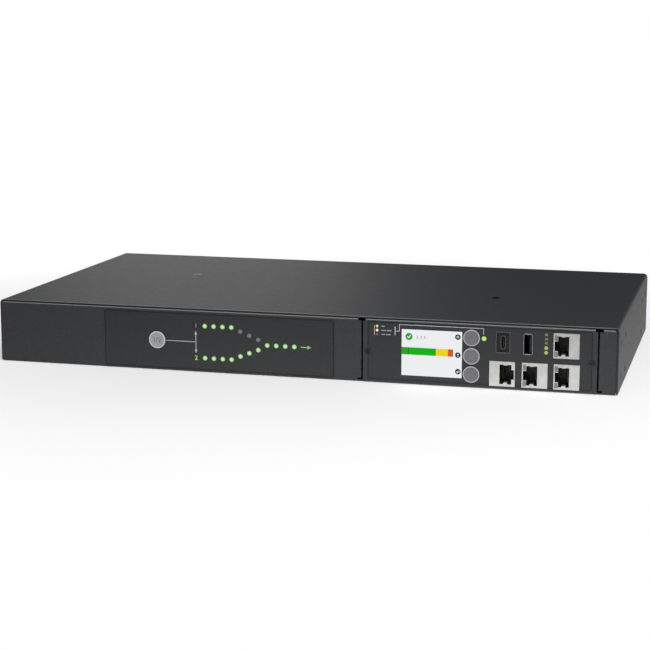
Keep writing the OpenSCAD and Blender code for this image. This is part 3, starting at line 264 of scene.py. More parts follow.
# ---------------------------------------------------------------- printed lines
# The white lines, arrows and brackets are ink under the film. Each is a thin flat
# ribbon just in front of the label, made by carrying a width along a path.
INK_LIFT = 0.03 * MM
INK_MOTTLE = 0.7 * MM     # the marks of a print screen are about 0.1 mm, drawn coarser
ink_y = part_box("front_overlay")[0][1] - INK_LIFT


def ribbon(path, width, y=ink_y):
    """A flat ribbon along a path of (x, z) points: at each point it is offset to both
    sides along the mean of the normals before and after, divided by the cosine of
    half the turn, so that corners stay sharp. Returns points and faces."""
    path = np.asarray(path, float)
    step = np.diff(path, axis=0)
    step /= np.linalg.norm(step, axis=1)[:, None]
    before = np.vstack([step[:1], step])
    after = np.vstack([step, step[-1:]])
    side = np.stack([-(before + after)[:, 1], (before + after)[:, 0]], axis=1)
    side /= np.linalg.norm(side, axis=1)[:, None]
    cosine = np.abs((side * np.stack([-after[:, 1], after[:, 0]], axis=1)).sum(axis=1))
    side *= (width / 2 / cosine)[:, None]
    points = np.insert(np.vstack([path + side, path - side]), 1, y, axis=1)
    n = len(path)
    i = np.arange(n - 1)
    return points, [np.stack([i, i + n, i + n + 1, i + 1], axis=1)]


def polygon(corners, y=ink_y):
    """One flat face through (x, z) corners given anticlockwise as seen from the front."""
    points = np.insert(np.asarray(corners, float), 1, y, axis=1)
    return points, [np.arange(len(points))[None, :]]


def build(name, shapes, material, body_name, shades=None, smooth=False):
    """Joins shapes, each with its points and a list of face arrays, into one piece at the
    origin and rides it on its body. Each shape may have an array of
    values, one per point, for the attribute 'shade'."""
    faces, count = [], 0
    for points, blocks in shapes:
        for block in blocks:
            faces += (block + count).tolist()
        count += len(points)
    mesh = bpy.data.meshes.new(name)
    mesh.from_pydata(np.vstack([points for points, blocks in shapes]).tolist(), [], faces)
    if shades is not None:
        layer = mesh.attributes.new("shade", "FLOAT", "POINT")
        layer.data.foreach_set("value", np.concatenate(shades).astype(np.float32))
    if smooth:
        mesh.polygons.foreach_set("use_smooth", [True] * len(mesh.polygons))
    mesh.materials.append(material)
    mesh.update()
    piece = bpy.data.objects.new(name, mesh)
    bpy.context.scene.collection.objects.link(piece)
    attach(piece, body_name)
    return piece


ink = clouded("screen_printed_ink", INK_MOTTLE, "#A9A9AB", "#C4C4C4", Roughness=0.45)

# The diagram: a source's number, eleven lights at an even pitch and an arrow. Its rows
# are measured from the box of the lit light pipes.
NUMBER_HALF = 1.6 * MM    # half the width of the light block behind a source's number
PIPE_R = 2.1 * MM         # radius of a light pipe's base on its board
ROW_LIGHTS = 11           # from a source to the output
lit_low, lit_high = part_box("mimic_lights_lit")
number_x = lit_low[0] + NUMBER_HALF
light_pitch = (lit_high[0] - PIPE_R - number_x) / ROW_LIGHTS
row_z = (lit_low[2] + lit_high[2]) / 2
rise = (lit_high[2] - lit_low[2]) / 2 - PIPE_R
pref_low, pref_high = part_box("preference_button")
pref_x = (pref_low[0] + pref_high[0]) / 2
arrow_x = number_x - 0.15 * MM
arrow_top = row_z + 7.4 * MM
arrow_foot = row_z - 8.0 * MM
line_z = row_z - 0.1 * MM
HEAD_H, HEAD_HALF = 2.4 * MM, 1.0 * MM
build("display_print", [
    ribbon([(pref_x + 6.6 * MM, line_z), (arrow_x, line_z)], 0.45 * MM),
    ribbon([(arrow_x, arrow_foot + HEAD_H), (arrow_x, arrow_top - HEAD_H)], 0.5 * MM),
    polygon([(arrow_x - HEAD_HALF, arrow_top - HEAD_H), (arrow_x + HEAD_HALF, arrow_top - HEAD_H),
             (arrow_x, arrow_top)]),
    polygon([(arrow_x + HEAD_HALF, arrow_foot + HEAD_H),
             (arrow_x - HEAD_HALF, arrow_foot + HEAD_H), (arrow_x, arrow_foot)]),
], ink, "case")

# ---------------------------------------------------------------- mimic lights
# Each light of the diagram is a clear moulded lens over a green diode. A lit one is
# pale in the middle and green towards its rim, with a painted glow in the film around it.
LENS_R = 1.7 * MM
LIT_HALO_R = 2.45 * MM
DIM_HALO_R = 1.95 * MM
LENS_RISE = 0.18 * MM
RAMP_SHARE = 0.6          # a colour ramp ends at 1, and a halo reaches 1.5 radii


def lens_cap(x, z, radius, halo, y, bulge):
    """A low dome that turns into a flat halo: radius runs from almost 0, where one face
    closes the middle, to halo, and the dome stands bulge * (1 - (r / radius)^2) in front
    of y. Returns the shape and r / radius."""
    r = radius * np.concatenate([np.linspace(0.001, 1, 9), np.linspace(1, halo / radius, 4)[1:]])
    angle = np.linspace(0, 2 * math.pi, 33)[:-1]
    dome = bulge * np.clip(1 - (r / radius) ** 2, 0, None)
    px = x + r[:, None] * np.cos(angle)
    pz = z + r[:, None] * np.sin(angle)
    py = np.broadcast_to((y - dome)[:, None], px.shape)
    points = np.stack([px, py, pz], axis=2).reshape(-1, 3)
    rows, cols = len(r), len(angle)
    i = (np.arange(rows - 1)[:, None] * cols + np.arange(cols)).ravel()
    j = (np.arange(rows - 1)[:, None] * cols + (np.arange(cols) + 1) % cols).ravel()
    faces = np.stack([i, i + cols, j + cols, j], axis=1)
    return (points, [faces, np.arange(cols)[None, :]]), np.repeat(r / radius, cols)


def lamp(name, stops, glow):
    """A lens whose colour and glow follow the attribute 'shade', which is r / radius."""
    material, tree, body = new_material(name, Roughness=0.25, Emission_Strength=glow,
                                        Base_Color=linear("#202122"), Specular_IOR_Level=0.3)
    reach = add(tree, "ShaderNodeAttribute", attribute_name="shade")
    spread = add(tree, "ShaderNodeMath", [(0, reach.outputs["Fac"]), (1, RAMP_SHARE)],
                 operation="MULTIPLY")
    ramp = add(tree, "ShaderNodeValToRGB", [("Fac", spread.outputs[0])])
    scale = ramp.color_ramp.elements
    for end, (at, code) in ((0, stops[0]), (1, stops[-1])):
        scale[end].position = at * RAMP_SHARE
        scale[end].color = linear(code)
    for at, code in stops[1:-1]:
        scale.new(at * RAMP_SHARE).color = linear(code)
    tree.links.new(ramp.outputs[0], body.inputs["Emission Color"])
    return material


def lenses(piece_name, places, radius, halo, bulge, material):
    """One piece of lens caps at places (x, z), flush with the printed ink."""
    made = [lens_cap(x, z, radius, halo, ink_y, bulge) for x, z in places]
    build(piece_name, [shape for shape, share in made], material, "case",
          [share for shape, share in made], smooth=True)


def height_of(k):
    """How far light k of a source row is above the middle row: level for four lights,
    then down by equal steps of 2.54 mm, and 0 from the eighth on."""
    return max(rise - max(k - 3, 0) * 2.54 * MM, 0) * (k < 7)


lit_lens = lamp("lit_green_lens", [(0, "#DDEBD0"), (0.5, "#C9DFB6"), (0.78, "#96BE80"),
                                   (0.97, "#4B8340"), (1.08, "#1D4A1B"), (1.44, "#0A120A")], 1.0)
lower = [(number_x + (k + 1) * light_pitch, row_z - height_of(k)) for k in range(ROW_LIGHTS)]
upper = [(number_x + (k + 1) * light_pitch, row_z + height_of(k)) for k in range(7)]
lenses("mimic_lenses_lit", lower + upper[:4], LENS_R, LIT_HALO_R, LENS_RISE, lit_lens)

# The pipes behind are hazy acrylic, darker at the ends that stand in the label
pipe, tree, body = new_material("smoked_acrylic_light_pipe", Roughness=0.3)
place = add(tree, "ShaderNodeTexCoord").outputs["Object"]
depth = add(tree, "ShaderNodeSeparateXYZ", [("Vector", place)])
label_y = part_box("front_overlay")[0][1]
front = add(tree, "ShaderNodeMapRange", [("Value", depth.outputs[1])],
            From_Min=label_y + 0.25 * MM, From_Max=label_y + 0.6 * MM)
cloudy = two_tone(tree, place, 2 * MM, "#8E9490", "#A5ABA6")[1]
shade = add(tree, "ShaderNodeMix", [(0, front.outputs[0]), (6, linear("#252628")), (7, cloudy)],
            data_type="RGBA")
tree.links.new(shade.outputs[2], body.inputs["Base Color"])
dress(pipe, "mimic_lights_lit", "mimic_lights_dim", "status_light", "level_lights", "link_lights")

# An unlit lens is drawn with a grey glow: painted light, with no diode lit behind it
dim_lens_painted_glow = lamp("unlit_clear_lens_painted_glow", [(0, "#7C7B7F"), (0.6, "#706F73"), (0.95, "#565558"),
                                     (1.02, "#101011"), (1.2, "#050505")], 0.9)
lenses("mimic_lenses_dim", upper[4:], LENS_R, DIM_HALO_R, LENS_RISE, dim_lens_painted_glow)


def figure(text, x, z, height, y=ink_y, weight=0.0):
    """The flat outline of a plain number, centred on (x, z) and that high. Points (u, v)
    of the lettering become (x + u, y, z + v); weight thickens the strokes."""
    curve = bpy.data.curves.new("figure", "FONT")
    curve.body = text
    curve.offset = weight
    curve.resolution_u = 3
    holder = bpy.data.objects.new("figure", curve)
    mesh = bpy.data.meshes.new_from_object(holder)
    flat = np.empty(len(mesh.vertices) * 3)
    mesh.vertices.foreach_get("co", flat)
    flat = flat.reshape(-1, 3)[:, :2]
    scale = height / np.ptp(flat[:, 1])
    flat = (flat - (flat.max(axis=0) + flat.min(axis=0)) / 2) * scale + (x, z)
    triangles = np.empty(len(mesh.polygons) * 3, np.int32)
    mesh.polygons.foreach_get("vertices", triangles)
    bpy.data.objects.remove(holder)
    bpy.data.meshes.remove(mesh)
    return np.insert(flat, 1, y, axis=1), [triangles.reshape(-1, 3)]


# The numbers of the two sources and the arrow at the output are windows in the
# print, lit from behind by their own diodes. The first source's number is unlit.
WINDOW_MOTTLE = 1.2 * MM  # uneven light through the thin film
window = clouded("lit_window_film", WINDOW_MOTTLE, "#6CC04C", "#A6DE84", into="Emission Color",
                 Roughness=0.4, Emission_Strength=0.85, Base_Color=linear("#1E2A1C"))
out_x = number_x + ROW_LIGHTS * light_pitch + 4.6 * MM
head_x = out_x + 4.6 * MM
build("lit_marks", [figure("2", number_x, row_z - rise, 3.3 * MM, weight=0.025),
                    ribbon([(out_x, row_z), (out_x + 5.2 * MM, row_z)], 0.75 * MM),
                    polygon([(head_x, row_z - 1.3 * MM), (head_x + 2.8 * MM, row_z),
                             (head_x, row_z + 1.3 * MM)])], window, "case")
grey_window = clouded("unlit_window_film", WINDOW_MOTTLE, "#77767B", "#87868B", Roughness=0.45)
build("dim_mark", [figure("1", number_x, row_z + rise, 3.1 * MM, weight=0.03)], grey_window,
      "case")

# ---------------------------------------------------------------- push buttons
# The preference button and the three keys are moulded grey plastic caps with a
# shallow dish, a lighter raised rim, a flange behind the label and a stem.
DISH = 0.3 * MM
SPARKED = 0.7 * MM        # the mould's eroded face is about 0.1 mm, drawn coarser


def revolve(profile, x, z, y, turns=64):
    """A surface of revolution about a line along Y: a profile point (r, d) goes to radius
    r and to d behind y, at every angle, and one face closes each end. Returns the shape
    and each point's radius."""
    profile = np.asarray(profile, float)
    angle = np.linspace(0, 2 * math.pi, turns + 1)[:-1]
    px = x + profile[:, :1] * np.cos(angle)
    pz = z + profile[:, :1] * np.sin(angle)
    py = np.broadcast_to(y + profile[:, 1:], px.shape)
    points = np.stack([px, py, pz], axis=2).reshape(-1, 3)
    rows = len(profile)
    i = (np.arange(rows - 1)[:, None] * turns + np.arange(turns)).ravel()
    j = (np.arange(rows - 1)[:, None] * turns + (np.arange(turns) + 1) % turns).ravel()
    faces = np.stack([i, i + turns, j + turns, j], axis=1)
    ends = [np.arange(turns)[None, :], (rows - 1) * turns + np.arange(turns)[None, ::-1]]
    return (points, [faces] + ends), np.repeat(profile[:, 0], turns)


def cap_profile(radius, rim, flange_r, flange_d, stem_r, length):
    """Half the section of a cap, from the middle of its dish out over the rim, down the
    side, round the flange and along the stem. The dish is a parabola of the radius."""
    t = np.linspace(0.004, 1, 16)
    floor = np.stack([t * (radius - rim - 0.15 * MM), DISH * (1 - 0.35 * t ** 2)], axis=1)
    turn = np.linspace(0, math.pi / 2, 7)
    edge = 0.3 * MM
    shoulder = np.stack([radius - edge + edge * np.sin(turn), edge - edge * np.cos(turn)], axis=1)
    flange_end = flange_d + 1 * MM
    rest = [[radius, flange_d], [flange_r, flange_d], [flange_r, flange_end],
            [stem_r, flange_end], [stem_r, length], [0.004 * MM, length]]
    return np.vstack([floor, [[radius - rim, 0]], shoulder, rest])


def cap_plastic(name, radius, rim, disc, disc_light, edge, gap):
    """Grey moulded plastic with a lighter ring where the dish meets the rim: the colour follows the
    attribute
    'shade', the radius as a share of the cap's own. The outer edge and the skirt past 1 are dark,
    painted shade in the gap round the cap."""
    material, tree, body = new_material(name, Roughness=0.48)
    reach = add(tree, "ShaderNodeAttribute", attribute_name="shade")
    place = add(tree, "ShaderNodeTexCoord").outputs["Object"]
    spark, colour = two_tone(tree, place, SPARKED, disc, disc_light)
    bound = 1 - rim / radius
    # the lighter ring where the dish meets the rim, then painted shade at the cap's outer edge and
    # skirt
    for low, high, code in ((bound - 0.02, bound + 0.02, edge), (0.985, 1.0, gap)):
        mask = add(tree, "ShaderNodeMapRange", [("Value", reach.outputs["Fac"])],
                   From_Min=low, From_Max=high)
        colour = add(tree, "ShaderNodeMix", [(0, mask.outputs[0]), (6, colour), (7, linear(code))],
                     data_type="RGBA").outputs[2]
    tree.links.new(colour, body.inputs["Base Color"])
    bumps = add(tree, "ShaderNodeBump", [("Height", spark)], Distance=0.04 * MM, Strength=0.5)
    tree.links.new(bumps.outputs[0], body.inputs["Normal"])
    return material


def press_cap(piece_name, node_name, body_name, plastic, radius, rim, flange_d, stem_r, x, z):
    """A cap in place of one CAD node, as long and with as wide a flange as its box. What
    lies more than 0.5 mm behind the cap's front gets the skirt's shade."""
    low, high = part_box(node_name)
    profile = cap_profile(radius, rim, (high[0] - low[0]) / 2, flange_d, stem_r, high[1] - low[1])
    shape, reach = revolve(profile, x, z, low[1])
    skirt = shape[0][:, 1] > low[1] + 0.5 * MM
    cap = build(piece_name, [shape], plastic, body_name,
                [np.where(skirt, 1.02, reach / radius)], smooth=True)
    cap.data.set_sharp_from_angle(angle=math.radians(35))
    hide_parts(node_name)


KEY_R, KEY_RIM = 5.55 * MM, 0.72 * MM
key_plastic = cap_plastic("moulded_grey_abs_key", KEY_R, KEY_RIM, "#646368", "#727175",
                          "#ACACAD", "#3A3A3D")
for name, body_name in (("menu_key", "menu"), ("scroll_key", "scroll"), ("select_key", "select")):
    low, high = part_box(name)
    press_cap(name + "_cap", name, body_name, key_plastic, KEY_R, KEY_RIM, 0.9 * MM, 1.9 * MM,
              (low[0] + high[0]) / 2, (low[2] + high[2]) / 2)

PREF_R, PREF_RIM = 6.0 * MM, 0.85 * MM
pref_plastic = cap_plastic("moulded_grey_abs_button", PREF_R, PREF_RIM, "#96969A", "#A4A4A7",
                           "#C9C9CA", "#3A3A3D")
press_cap("preference_cap", "preference_button", "preference", pref_plastic, PREF_R, PREF_RIM,
          2.1 * MM, 2.0 * MM, pref_x, row_z)

# Plain numbers with a stroke between them are pad printed in the preference button's dish
mark_ink = clouded("grey_pad_print", INK_MOTTLE, "#5E5E62", "#69696D", Roughness=0.5)
mark_y = pref_low[1] + 0.12 * MM
build("preference_marks", [
    figure("1", pref_x - 2.1 * MM, row_z, 3.0 * MM, mark_y),
    figure("2", pref_x + 2.0 * MM, row_z, 3.0 * MM, mark_y),
    ribbon([(pref_x - 0.6 * MM, row_z - 1.7 * MM), (pref_x + 0.2 * MM, row_z + 1.7 * MM)],
           0.35 * MM, mark_y)], mark_ink, "preference")

# ---------------------------------------------------------------- screen
# A small colour screen, lit from behind: a white page with a round green tick, three
# digits, a bar in four colours and a black round sign beside each key.
DOT_GRID = 0.6 * MM       # the real dots are 0.15 mm apart, drawn coarser so that they show
LAYER = 0.01 * MM         # each colour lies this far in front of the one behind it
screen_low, screen_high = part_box("lcd_panel")
glass_y = screen_low[1] - 0.03 * MM
page_left, page_right = screen_low[0] + 3.0 * MM, screen_high[0] - 0.25 * MM
page_foot, page_top = screen_low[2] + 1.5 * MM, screen_high[2] - 1.5 * MM


def on_screen(u, v):
    """A point of the screen from its shares of the width and of the height."""
    return page_left + u * (page_right - page_left), page_foot + v * (page_top - page_foot)


def panel(u0, v0, u1, v1, layer):
    """A rectangle of the picture between two points of the screen, on one layer."""
    corners = [on_screen(u0, v0), on_screen(u1, v0), on_screen(u1, v1), on_screen(u0, v1)]
    return polygon(corners, glass_y - layer * LAYER)


def disc(x, z, radius, y, turns=48):
    """A flat disc: radius runs from a small polygon at the middle to the rim."""
    angle = np.linspace(0, 2 * math.pi, turns + 1)[:-1]
    r = np.array([0.01 * MM, radius])[:, None]
    px = x + r * np.cos(angle)
    pz = z + r * np.sin(angle)
    points = np.stack([px, np.full_like(px, y), pz], axis=2)
    i = np.arange(turns)
    j = (i + 1) % turns
    return points.reshape(-1, 3), [np.stack([i, i + turns, j + turns, j], axis=1), i[None, :]]


def picture_ink(name, code, light, glow):
    """A colour of the lit picture, with the faint grid of its dots."""
    material, tree, body = new_material(name, Roughness=0.3, Emission_Strength=glow,
                                        Base_Color=linear("#08090A"), Specular_IOR_Level=0.12)
    place = add(tree, "ShaderNodeTexCoord").outputs["Object"]
    dots = add(tree, "ShaderNodeTexVoronoi", [("Vector", place)], Scale=1 / DOT_GRID, Randomness=0.0)
    tint = add(tree, "ShaderNodeMix", [(0, dots.outputs["Distance"]), (6, linear(light)),
                                       (7, linear(code))], data_type="RGBA")
    tree.links.new(tint.outputs[2], body.inputs["Emission Color"])
    return material


page = picture_ink("lit_screen_white", "#E6E8EA", "#F2F3F5", 0.98)
build("screen_page", [panel(0.0, 0.0, 1.0, 1.0, 0)], page, "case")
dress(page, "lcd_panel")

# The load bar: five patches side by side, from u0 to u1 of the width
BAR_LOW, BAR_HIGH = 0.455, 0.614
for tag, code, light, u0, u1 in (("green_dark", "#279A18", "#30A622", 0.0, 0.112),
                                 ("green_line", "#0A5514", "#0A6016", 0.112, 0.12),
                                 ("green", "#04AC02", "#0AB608", 0.12, 0.572),
                                 ("yellow", "#ECD200", "#F2DA14", 0.572, 0.772),
                                 ("orange", "#C45618", "#D06420", 0.772, 0.858)):
    build("screen_bar_" + tag, [panel(u0, BAR_LOW, u1, BAR_HIGH, 1)],
          picture_ink("lit_screen_" + tag, code, light, 0.95), "case")


def drawn(x, z, strokes):
    """Strokes of a sign centred on (x, z), each a width in millimetres, or 0 for a filled
    shape, and its points in millimetres from the centre."""
    made = []
    for width, path in strokes:
        path = [(x + u * MM, z + v * MM) for u, v in path]
        y = glass_y - 2 * LAYER
        made.append(ribbon(path, width * MM, y) if width else polygon(path, y))
    return made


tick_x, tick_z = on_screen(0.122, 0.847)
tick_green = picture_ink("lit_screen_tick_green", "#1C9A34", "#27A53E", 0.95)
build("screen_tick_disc", [disc(tick_x, tick_z, 2.4 * MM, glass_y - LAYER)], tick_green,
      "case")
build("screen_tick", drawn(tick_x, tick_z, [(0.6, [(-1.1, 0.1), (-0.25, -0.8), (1.25, 1.1)])]),
      page, "case")
digit_x, digit_z = on_screen(0.322, 0.843)
digit_ink = picture_ink("lit_screen_digit_grey", "#5C7A62", "#69876F", 0.9)
build("screen_digits", [figure(digit, digit_x + (k - 1) * 2.5 * MM, digit_z, 1.9 * MM, glass_y - LAYER)
                        for k, digit in enumerate("230")], digit_ink, "case")

# A sign stands beside each key: a house for the menu, two arrow heads for scrolling and
# a bent arrow for the choice. First come its distance from the page's right edge and how
# far it is above its key's level, in millimetres.
SIGN_R = 1.85 * MM
SIGN_MARGIN = 2.2 * MM    # the least from a sign's centre to the page's edge
signs = (
    ("menu_key", 2.75, 0.0, [(0.4, [(-0.9, -0.1), (0, 0.8), (0.9, -0.1)]),
                             (0.35, [(-0.55, -0.9), (-0.55, -0.1)]),
                             (0.35, [(0.55, -0.9), (0.55, -0.1)])]),
    ("scroll_key", 2.6, 0.2, [(0, [(0.65, -0.25), (-0.65, -0.25), (0, -1.2)]),
                               (0, [(-0.65, 0.25), (0.65, 0.25), (0, 1.2)])]),
    ("select_key", 2.45, 1.4, [(0.4, [(0.9, 0.8), (0.9, -0.3), (-0.8, -0.3)]),
                                (0.35, [(-0.1, 0.5), (-0.85, -0.3), (-0.1, -1.1)])]),
)
rounds, strokes = [], []
for key, inset, lift, shape in signs:
    low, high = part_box(key)
    x = page_right - inset * MM
    z = np.clip((low[2] + high[2]) / 2, page_foot + SIGN_MARGIN, page_top - SIGN_MARGIN) + lift * MM
    rounds.append(disc(x, z, SIGN_R, glass_y - LAYER))
    strokes += drawn(x, z, shape)
sign_ink = picture_ink("lit_screen_black", "#111214", "#17181A", 0.05)
build("screen_signs", rounds, sign_ink, "case")
build("screen_sign_strokes", strokes, page, "case")

# ---------------------------------------------------------------- module lights
# Small round light pipes carry the light of the module's diodes to its face. One is
# bright green, two beside the network jack are yellow green, and three show levels.
PIPE_RISE = 0.1 * MM
LEVEL_R, LEVEL_PITCH = 0.9 * MM, 2.75 * MM


def middle(low, high):
    """The x and z of the middle of a box."""
    return (low[0] + high[0]) / 2, (low[2] + high[2]) / 2


status_x, status_z = middle(*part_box("status_light"))
status_glow = lamp("lit_status_lens", [(0, "#DFEDB4"), (0.5, "#CBE488"), (0.85, "#93C44C"),
                                       (1.0, "#5E8F2E"), (1.05, "#26380F"), (1.3, "#050505")], 0.95)
lenses("status_lens", [(status_x, status_z)], LENS_R, 2.2 * MM, PIPE_RISE, status_glow)

LINK_R = 1.3 * MM
link_low, link_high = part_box("link_lights")
link_x = (link_low[0] + link_high[0]) / 2
link_glow = lamp("lit_link_lens", [(0, "#A9AC7E"), (0.5, "#B6BA84"), (0.85, "#A3AA62"),
                                   (1.0, "#6B7038"), (1.05, "#2B2E14"), (1.3, "#050505")], 0.95)
lenses("link_lenses", [(link_x, link_low[2] + LINK_R), (link_x, link_high[2] - LINK_R)],
       LINK_R, 1.65 * MM, PIPE_RISE, link_glow)

level_low, level_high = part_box("level_lights")
level_x, level_z = middle(level_low, level_high)
levels = (("red", "#A0776C", "#6E463E", 0.7), ("yellow", "#FFF8D0", "#D6CE8A", 1.0),
          ("green", "#E8E8BE", "#B4B878", 0.85))
for k, (tag, mid, rim, glow) in enumerate(levels):
    tinted = lamp("level_lens_" + tag, [(0, mid), (0.6, mid), (1.0, rim), (1.06, "#1C1A10"),
                                        (1.35, "#050505")], glow)
    lenses("level_lens_" + tag, [(level_x, level_low[2] + LEVEL_R + k * LEVEL_PITCH)],
           LEVEL_R, 1.2 * MM, 0.08 * MM, tinted)

# ---------------------------------------------------------------- module print
# Light grey lines on the module's label: a bracket on each side of the level lights, a
# line from there over the screen to the status light, and dashes beside each light.
THIN = 0.42 * MM
module_low, module_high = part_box("module_overlay")
top_line = module_high[2] - 1.3 * MM
left_x = level_x - 1.8 * MM
right_x = level_x + 12.2 * MM
shapes = [
    ribbon([(left_x, level_z - 3.2 * MM), (left_x, level_z + 3.2 * MM)], THIN),
    ribbon([(right_x, level_z - 2.9 * MM), (right_x, level_z + 2.9 * MM)], 0.6 * MM),
    ribbon([(right_x, level_z), (level_x + 15.1 * MM, level_z), (level_x + 15.1 * MM, top_line),
            (status_x - 0.4 * MM, top_line), (status_x - 0.4 * MM, status_z + 2.6 * MM)], THIN),
]
for k, dashes in ((-1, ((3.0, 5.4), (6.0, 9.4))), (0, ((3.0, 6.0), (6.6, 9.8))), (1, ((3.0, 5.2),))):
    z = level_z + k * LEVEL_PITCH
    shapes += [ribbon([(level_x + a * MM, z), (level_x + b * MM, z)], 0.45 * MM) for a, b in dashes]
build("module_print", shapes, ink, "case")

# Plain yellow numbers stand above the link lights
yellow_ink = clouded("screen_printed_ink_yellow", INK_MOTTLE, "#A19D5E", "#BDB978", Roughness=0.45)
build("module_print_yellow", [figure(number, link_x, link_high[2] + 1.9 * MM + k * LEVEL_PITCH,
                                     1.5 * MM, weight=0.01)
                              for k, number in enumerate(("10", "20", "30"))],
      yellow_ink, "case")

# ---------------------------------------------------------------- data jacks
# Each modular jack is a black insert in a shield of tin plated sheet, folded to a
# box with sprung fingers. Bright plate looks almost white under soft light.
TIN_CLOUD = 6 * MM        # dull and bright patches of the plating
SCRATCH = 0.4 * MM        # rolling marks are about 0.05 mm wide, drawn coarser
tin, tree, body = new_material("tin_plated_sheet", Metallic=1.0, Roughness=0.36)
place = add(tree, "ShaderNodeTexCoord").outputs["Object"]
cloud, colour = two_tone(tree, place, TIN_CLOUD, "#DEDEDB", "#EBEBE8")
tree.links.new(colour, body.inputs["Base Color"])
drag = add(tree, "ShaderNodeMapping", [("Vector", place)], Scale=(1, 1, 0.12))
scratch = add(tree, "ShaderNodeTexNoise", [("Vector", drag.outputs[0])], Scale=1 / SCRATCH,
              Detail=2.0)
dull = add(tree, "ShaderNodeMapRange", [("Value", scratch.outputs[0])], From_Min=0.3,
           From_Max=0.7, To_Min=0.3, To_Max=0.46)
tree.links.new(dull.outputs[0], body.inputs["Roughness"])
bumps = add(tree, "ShaderNodeBump", [("Height", cloud)], Distance=0.1 * MM, Strength=0.1)
tree.links.new(bumps.outputs[0], body.inputs["Normal"])
dress(tin, "network_jack", "input_jack", "output_jack", "universal_jack")


def depth_shaded_finish(name, grain, dark, light, start, end, deep, rise=0.0, **shader):
    """A finish that turns from clouds of two colours to one deep colour, painted shade, between two
    distances behind the label's face, in millimetres. Its surface rises with the clouds."""
    material, tree, body = new_material(name, **shader)
    place = add(tree, "ShaderNodeTexCoord").outputs["Object"]
    spot = add(tree, "ShaderNodeSeparateXYZ", [("Vector", place)])
    inside = add(tree, "ShaderNodeMapRange", [("Value", spot.outputs[1])],
                 From_Min=module_low[1] + start * MM, From_Max=module_low[1] + end * MM)
    cloud, colour = two_tone(tree, place, grain, dark, light)
    mixed = add(tree, "ShaderNodeMix", [(0, inside.outputs[0]), (6, colour), (7, linear(deep))],
                data_type="RGBA")
    tree.links.new(mixed.outputs[2], body.inputs["Base Color"])
    if rise:
        bumps = add(tree, "ShaderNodeBump", [("Height", cloud)], Distance=rise, Strength=0.3)
        tree.links.new(bumps.outputs[0], body.inputs["Normal"])
    return material


# The USB shells are drawn stainless steel, bright at the lip. Inside, painted shade darkens
# them with depth, so that the mouths read black
dress(depth_shaded_finish("drawn_stainless_shell_painted_depth_shade", 1.5 * MM, "#A2A3A5", "#B4B5B7", 0.15, 0.9, "#242426",
                  0.03 * MM, Metallic=1.0, Roughness=0.4), "usb_a_shell", "usb_c_shell")

# Inserts, holders and switches are black glass-filled nylon, satin from its mould. The
# fibres' flow marks are about 0.9 mm
dress(clouded("moulded_black_nylon", 0.9 * MM, "#141416", "#1E1E21", 0.04 * MM, 0.4, Roughness=0.45),
      "jack_inserts", "usb_tongues", "lcd_frame", "key_holder", "tact_switches")

# The frame of the USB-C port is the same nylon, drawn dull grey along its lip as a painted
# highlight, with painted black shade in its pocket
dress(depth_shaded_finish("moulded_black_nylon_painted_lip_highlight", 1.2 * MM, "#434346", "#5A5A5D", 0.0, 0.2,
                  "#070708", Roughness=0.5), "usb_c_housing")

# The contact wires are plated with gold, darkened with painted shade from the insert around them,
# and the jacks' windows are clear mouldings over unlit diodes
dress(clouded("gold_plated_spring_wire_painted_shade", 2 * MM, "#5A5240", "#746A52", Metallic=1.0, Roughness=0.24),
      "jack_contacts")
dress(clouded("clear_moulded_light_pipe", 1.5 * MM, "#6F716C", "#858780", Roughness=0.2),
      "jack_lights")

# ---------------------------------------------------------------- rear sockets
# The inlets and outlets are moulded in black polyamide with a spark-eroded face, and
# the inlets' flat pins are brass plated with nickel. Bars and earth screw are bare brass.
ROLLED = 3 * MM           # slow clouds left on rolled metal
dress(clouded("spark_eroded_black_polyamide", 1.2 * MM, "#17181A", "#232427", 0.08 * MM, 0.5,
              Roughness=0.55), "inlet_a", "inlet_b", "outlet_bank_1", "outlet_bank_2", "large_outlet")
dress(clouded("nickel_plated_brass", ROLLED, "#C3BFB4", "#D6D3CA", Metallic=1.0, Roughness=0.3),
      "inlet_pins")
dress(clouded("rolled_brass", ROLLED, "#B8923E", "#D0AE5C", 0.05 * MM, 0.2, Metallic=1.0,
              Roughness=0.34), "outlet_busbars", "earth_screw")

# ---------------------------------------------------------------- circuit boards
# Glass fibre boards under green solder mask, with copper tracks showing as paler
# lines. What stands on a board is black epoxy, told apart by its height above it.
TRACK, CELL_LONG, CELL_SHORT = 0.3 * MM, 9 * MM, 3 * MM      # width and spacings of tracks
ALL_BOARD = 1.0           # a level past every point: no epoxy on this board


def board_material(name, axis, level):
    """Green mask on the board and black epoxy past a level along one axis of Object
    coordinates. Tracks are the narrow joints between oblong cells."""
    material, tree, body = new_material(name, Roughness=0.35)
    place = add(tree, "ShaderNodeTexCoord").outputs["Object"]
    tracks = add(tree, "ShaderNodeTexBrick", [("Vector", place)], Scale=1.0, Mortar_Size=TRACK,
                 Brick_Width=CELL_LONG, Row_Height=CELL_SHORT, Color1=linear("#1E4D2E"),
                 Color2=linear("#235635"), Mortar=linear("#3E7A4E"))
    across = add(tree, "ShaderNodeSeparateXYZ", [("Vector", place)])
    side = add(tree, "ShaderNodeMath", [(0, across.outputs[axis]), (1, level)],
               operation="GREATER_THAN")
    mixed = add(tree, "ShaderNodeMix", [(0, side.outputs[0]), (6, tracks.outputs["Color"]),
                                        (7, linear("#1D1D20"))], data_type="RGBA")
    tree.links.new(mixed.outputs[2], body.inputs["Base Color"])
    return material


dress(board_material("fibre_board_power", 2, ALL_BOARD), "main_board")
board_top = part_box("management_board")[0][2] + 1.65 * MM
dress(board_material("fibre_board_management", 2, board_top), "management_board")
dress(board_material("fibre_board_upright", 1, ALL_BOARD), "display_board", "module_front_board")

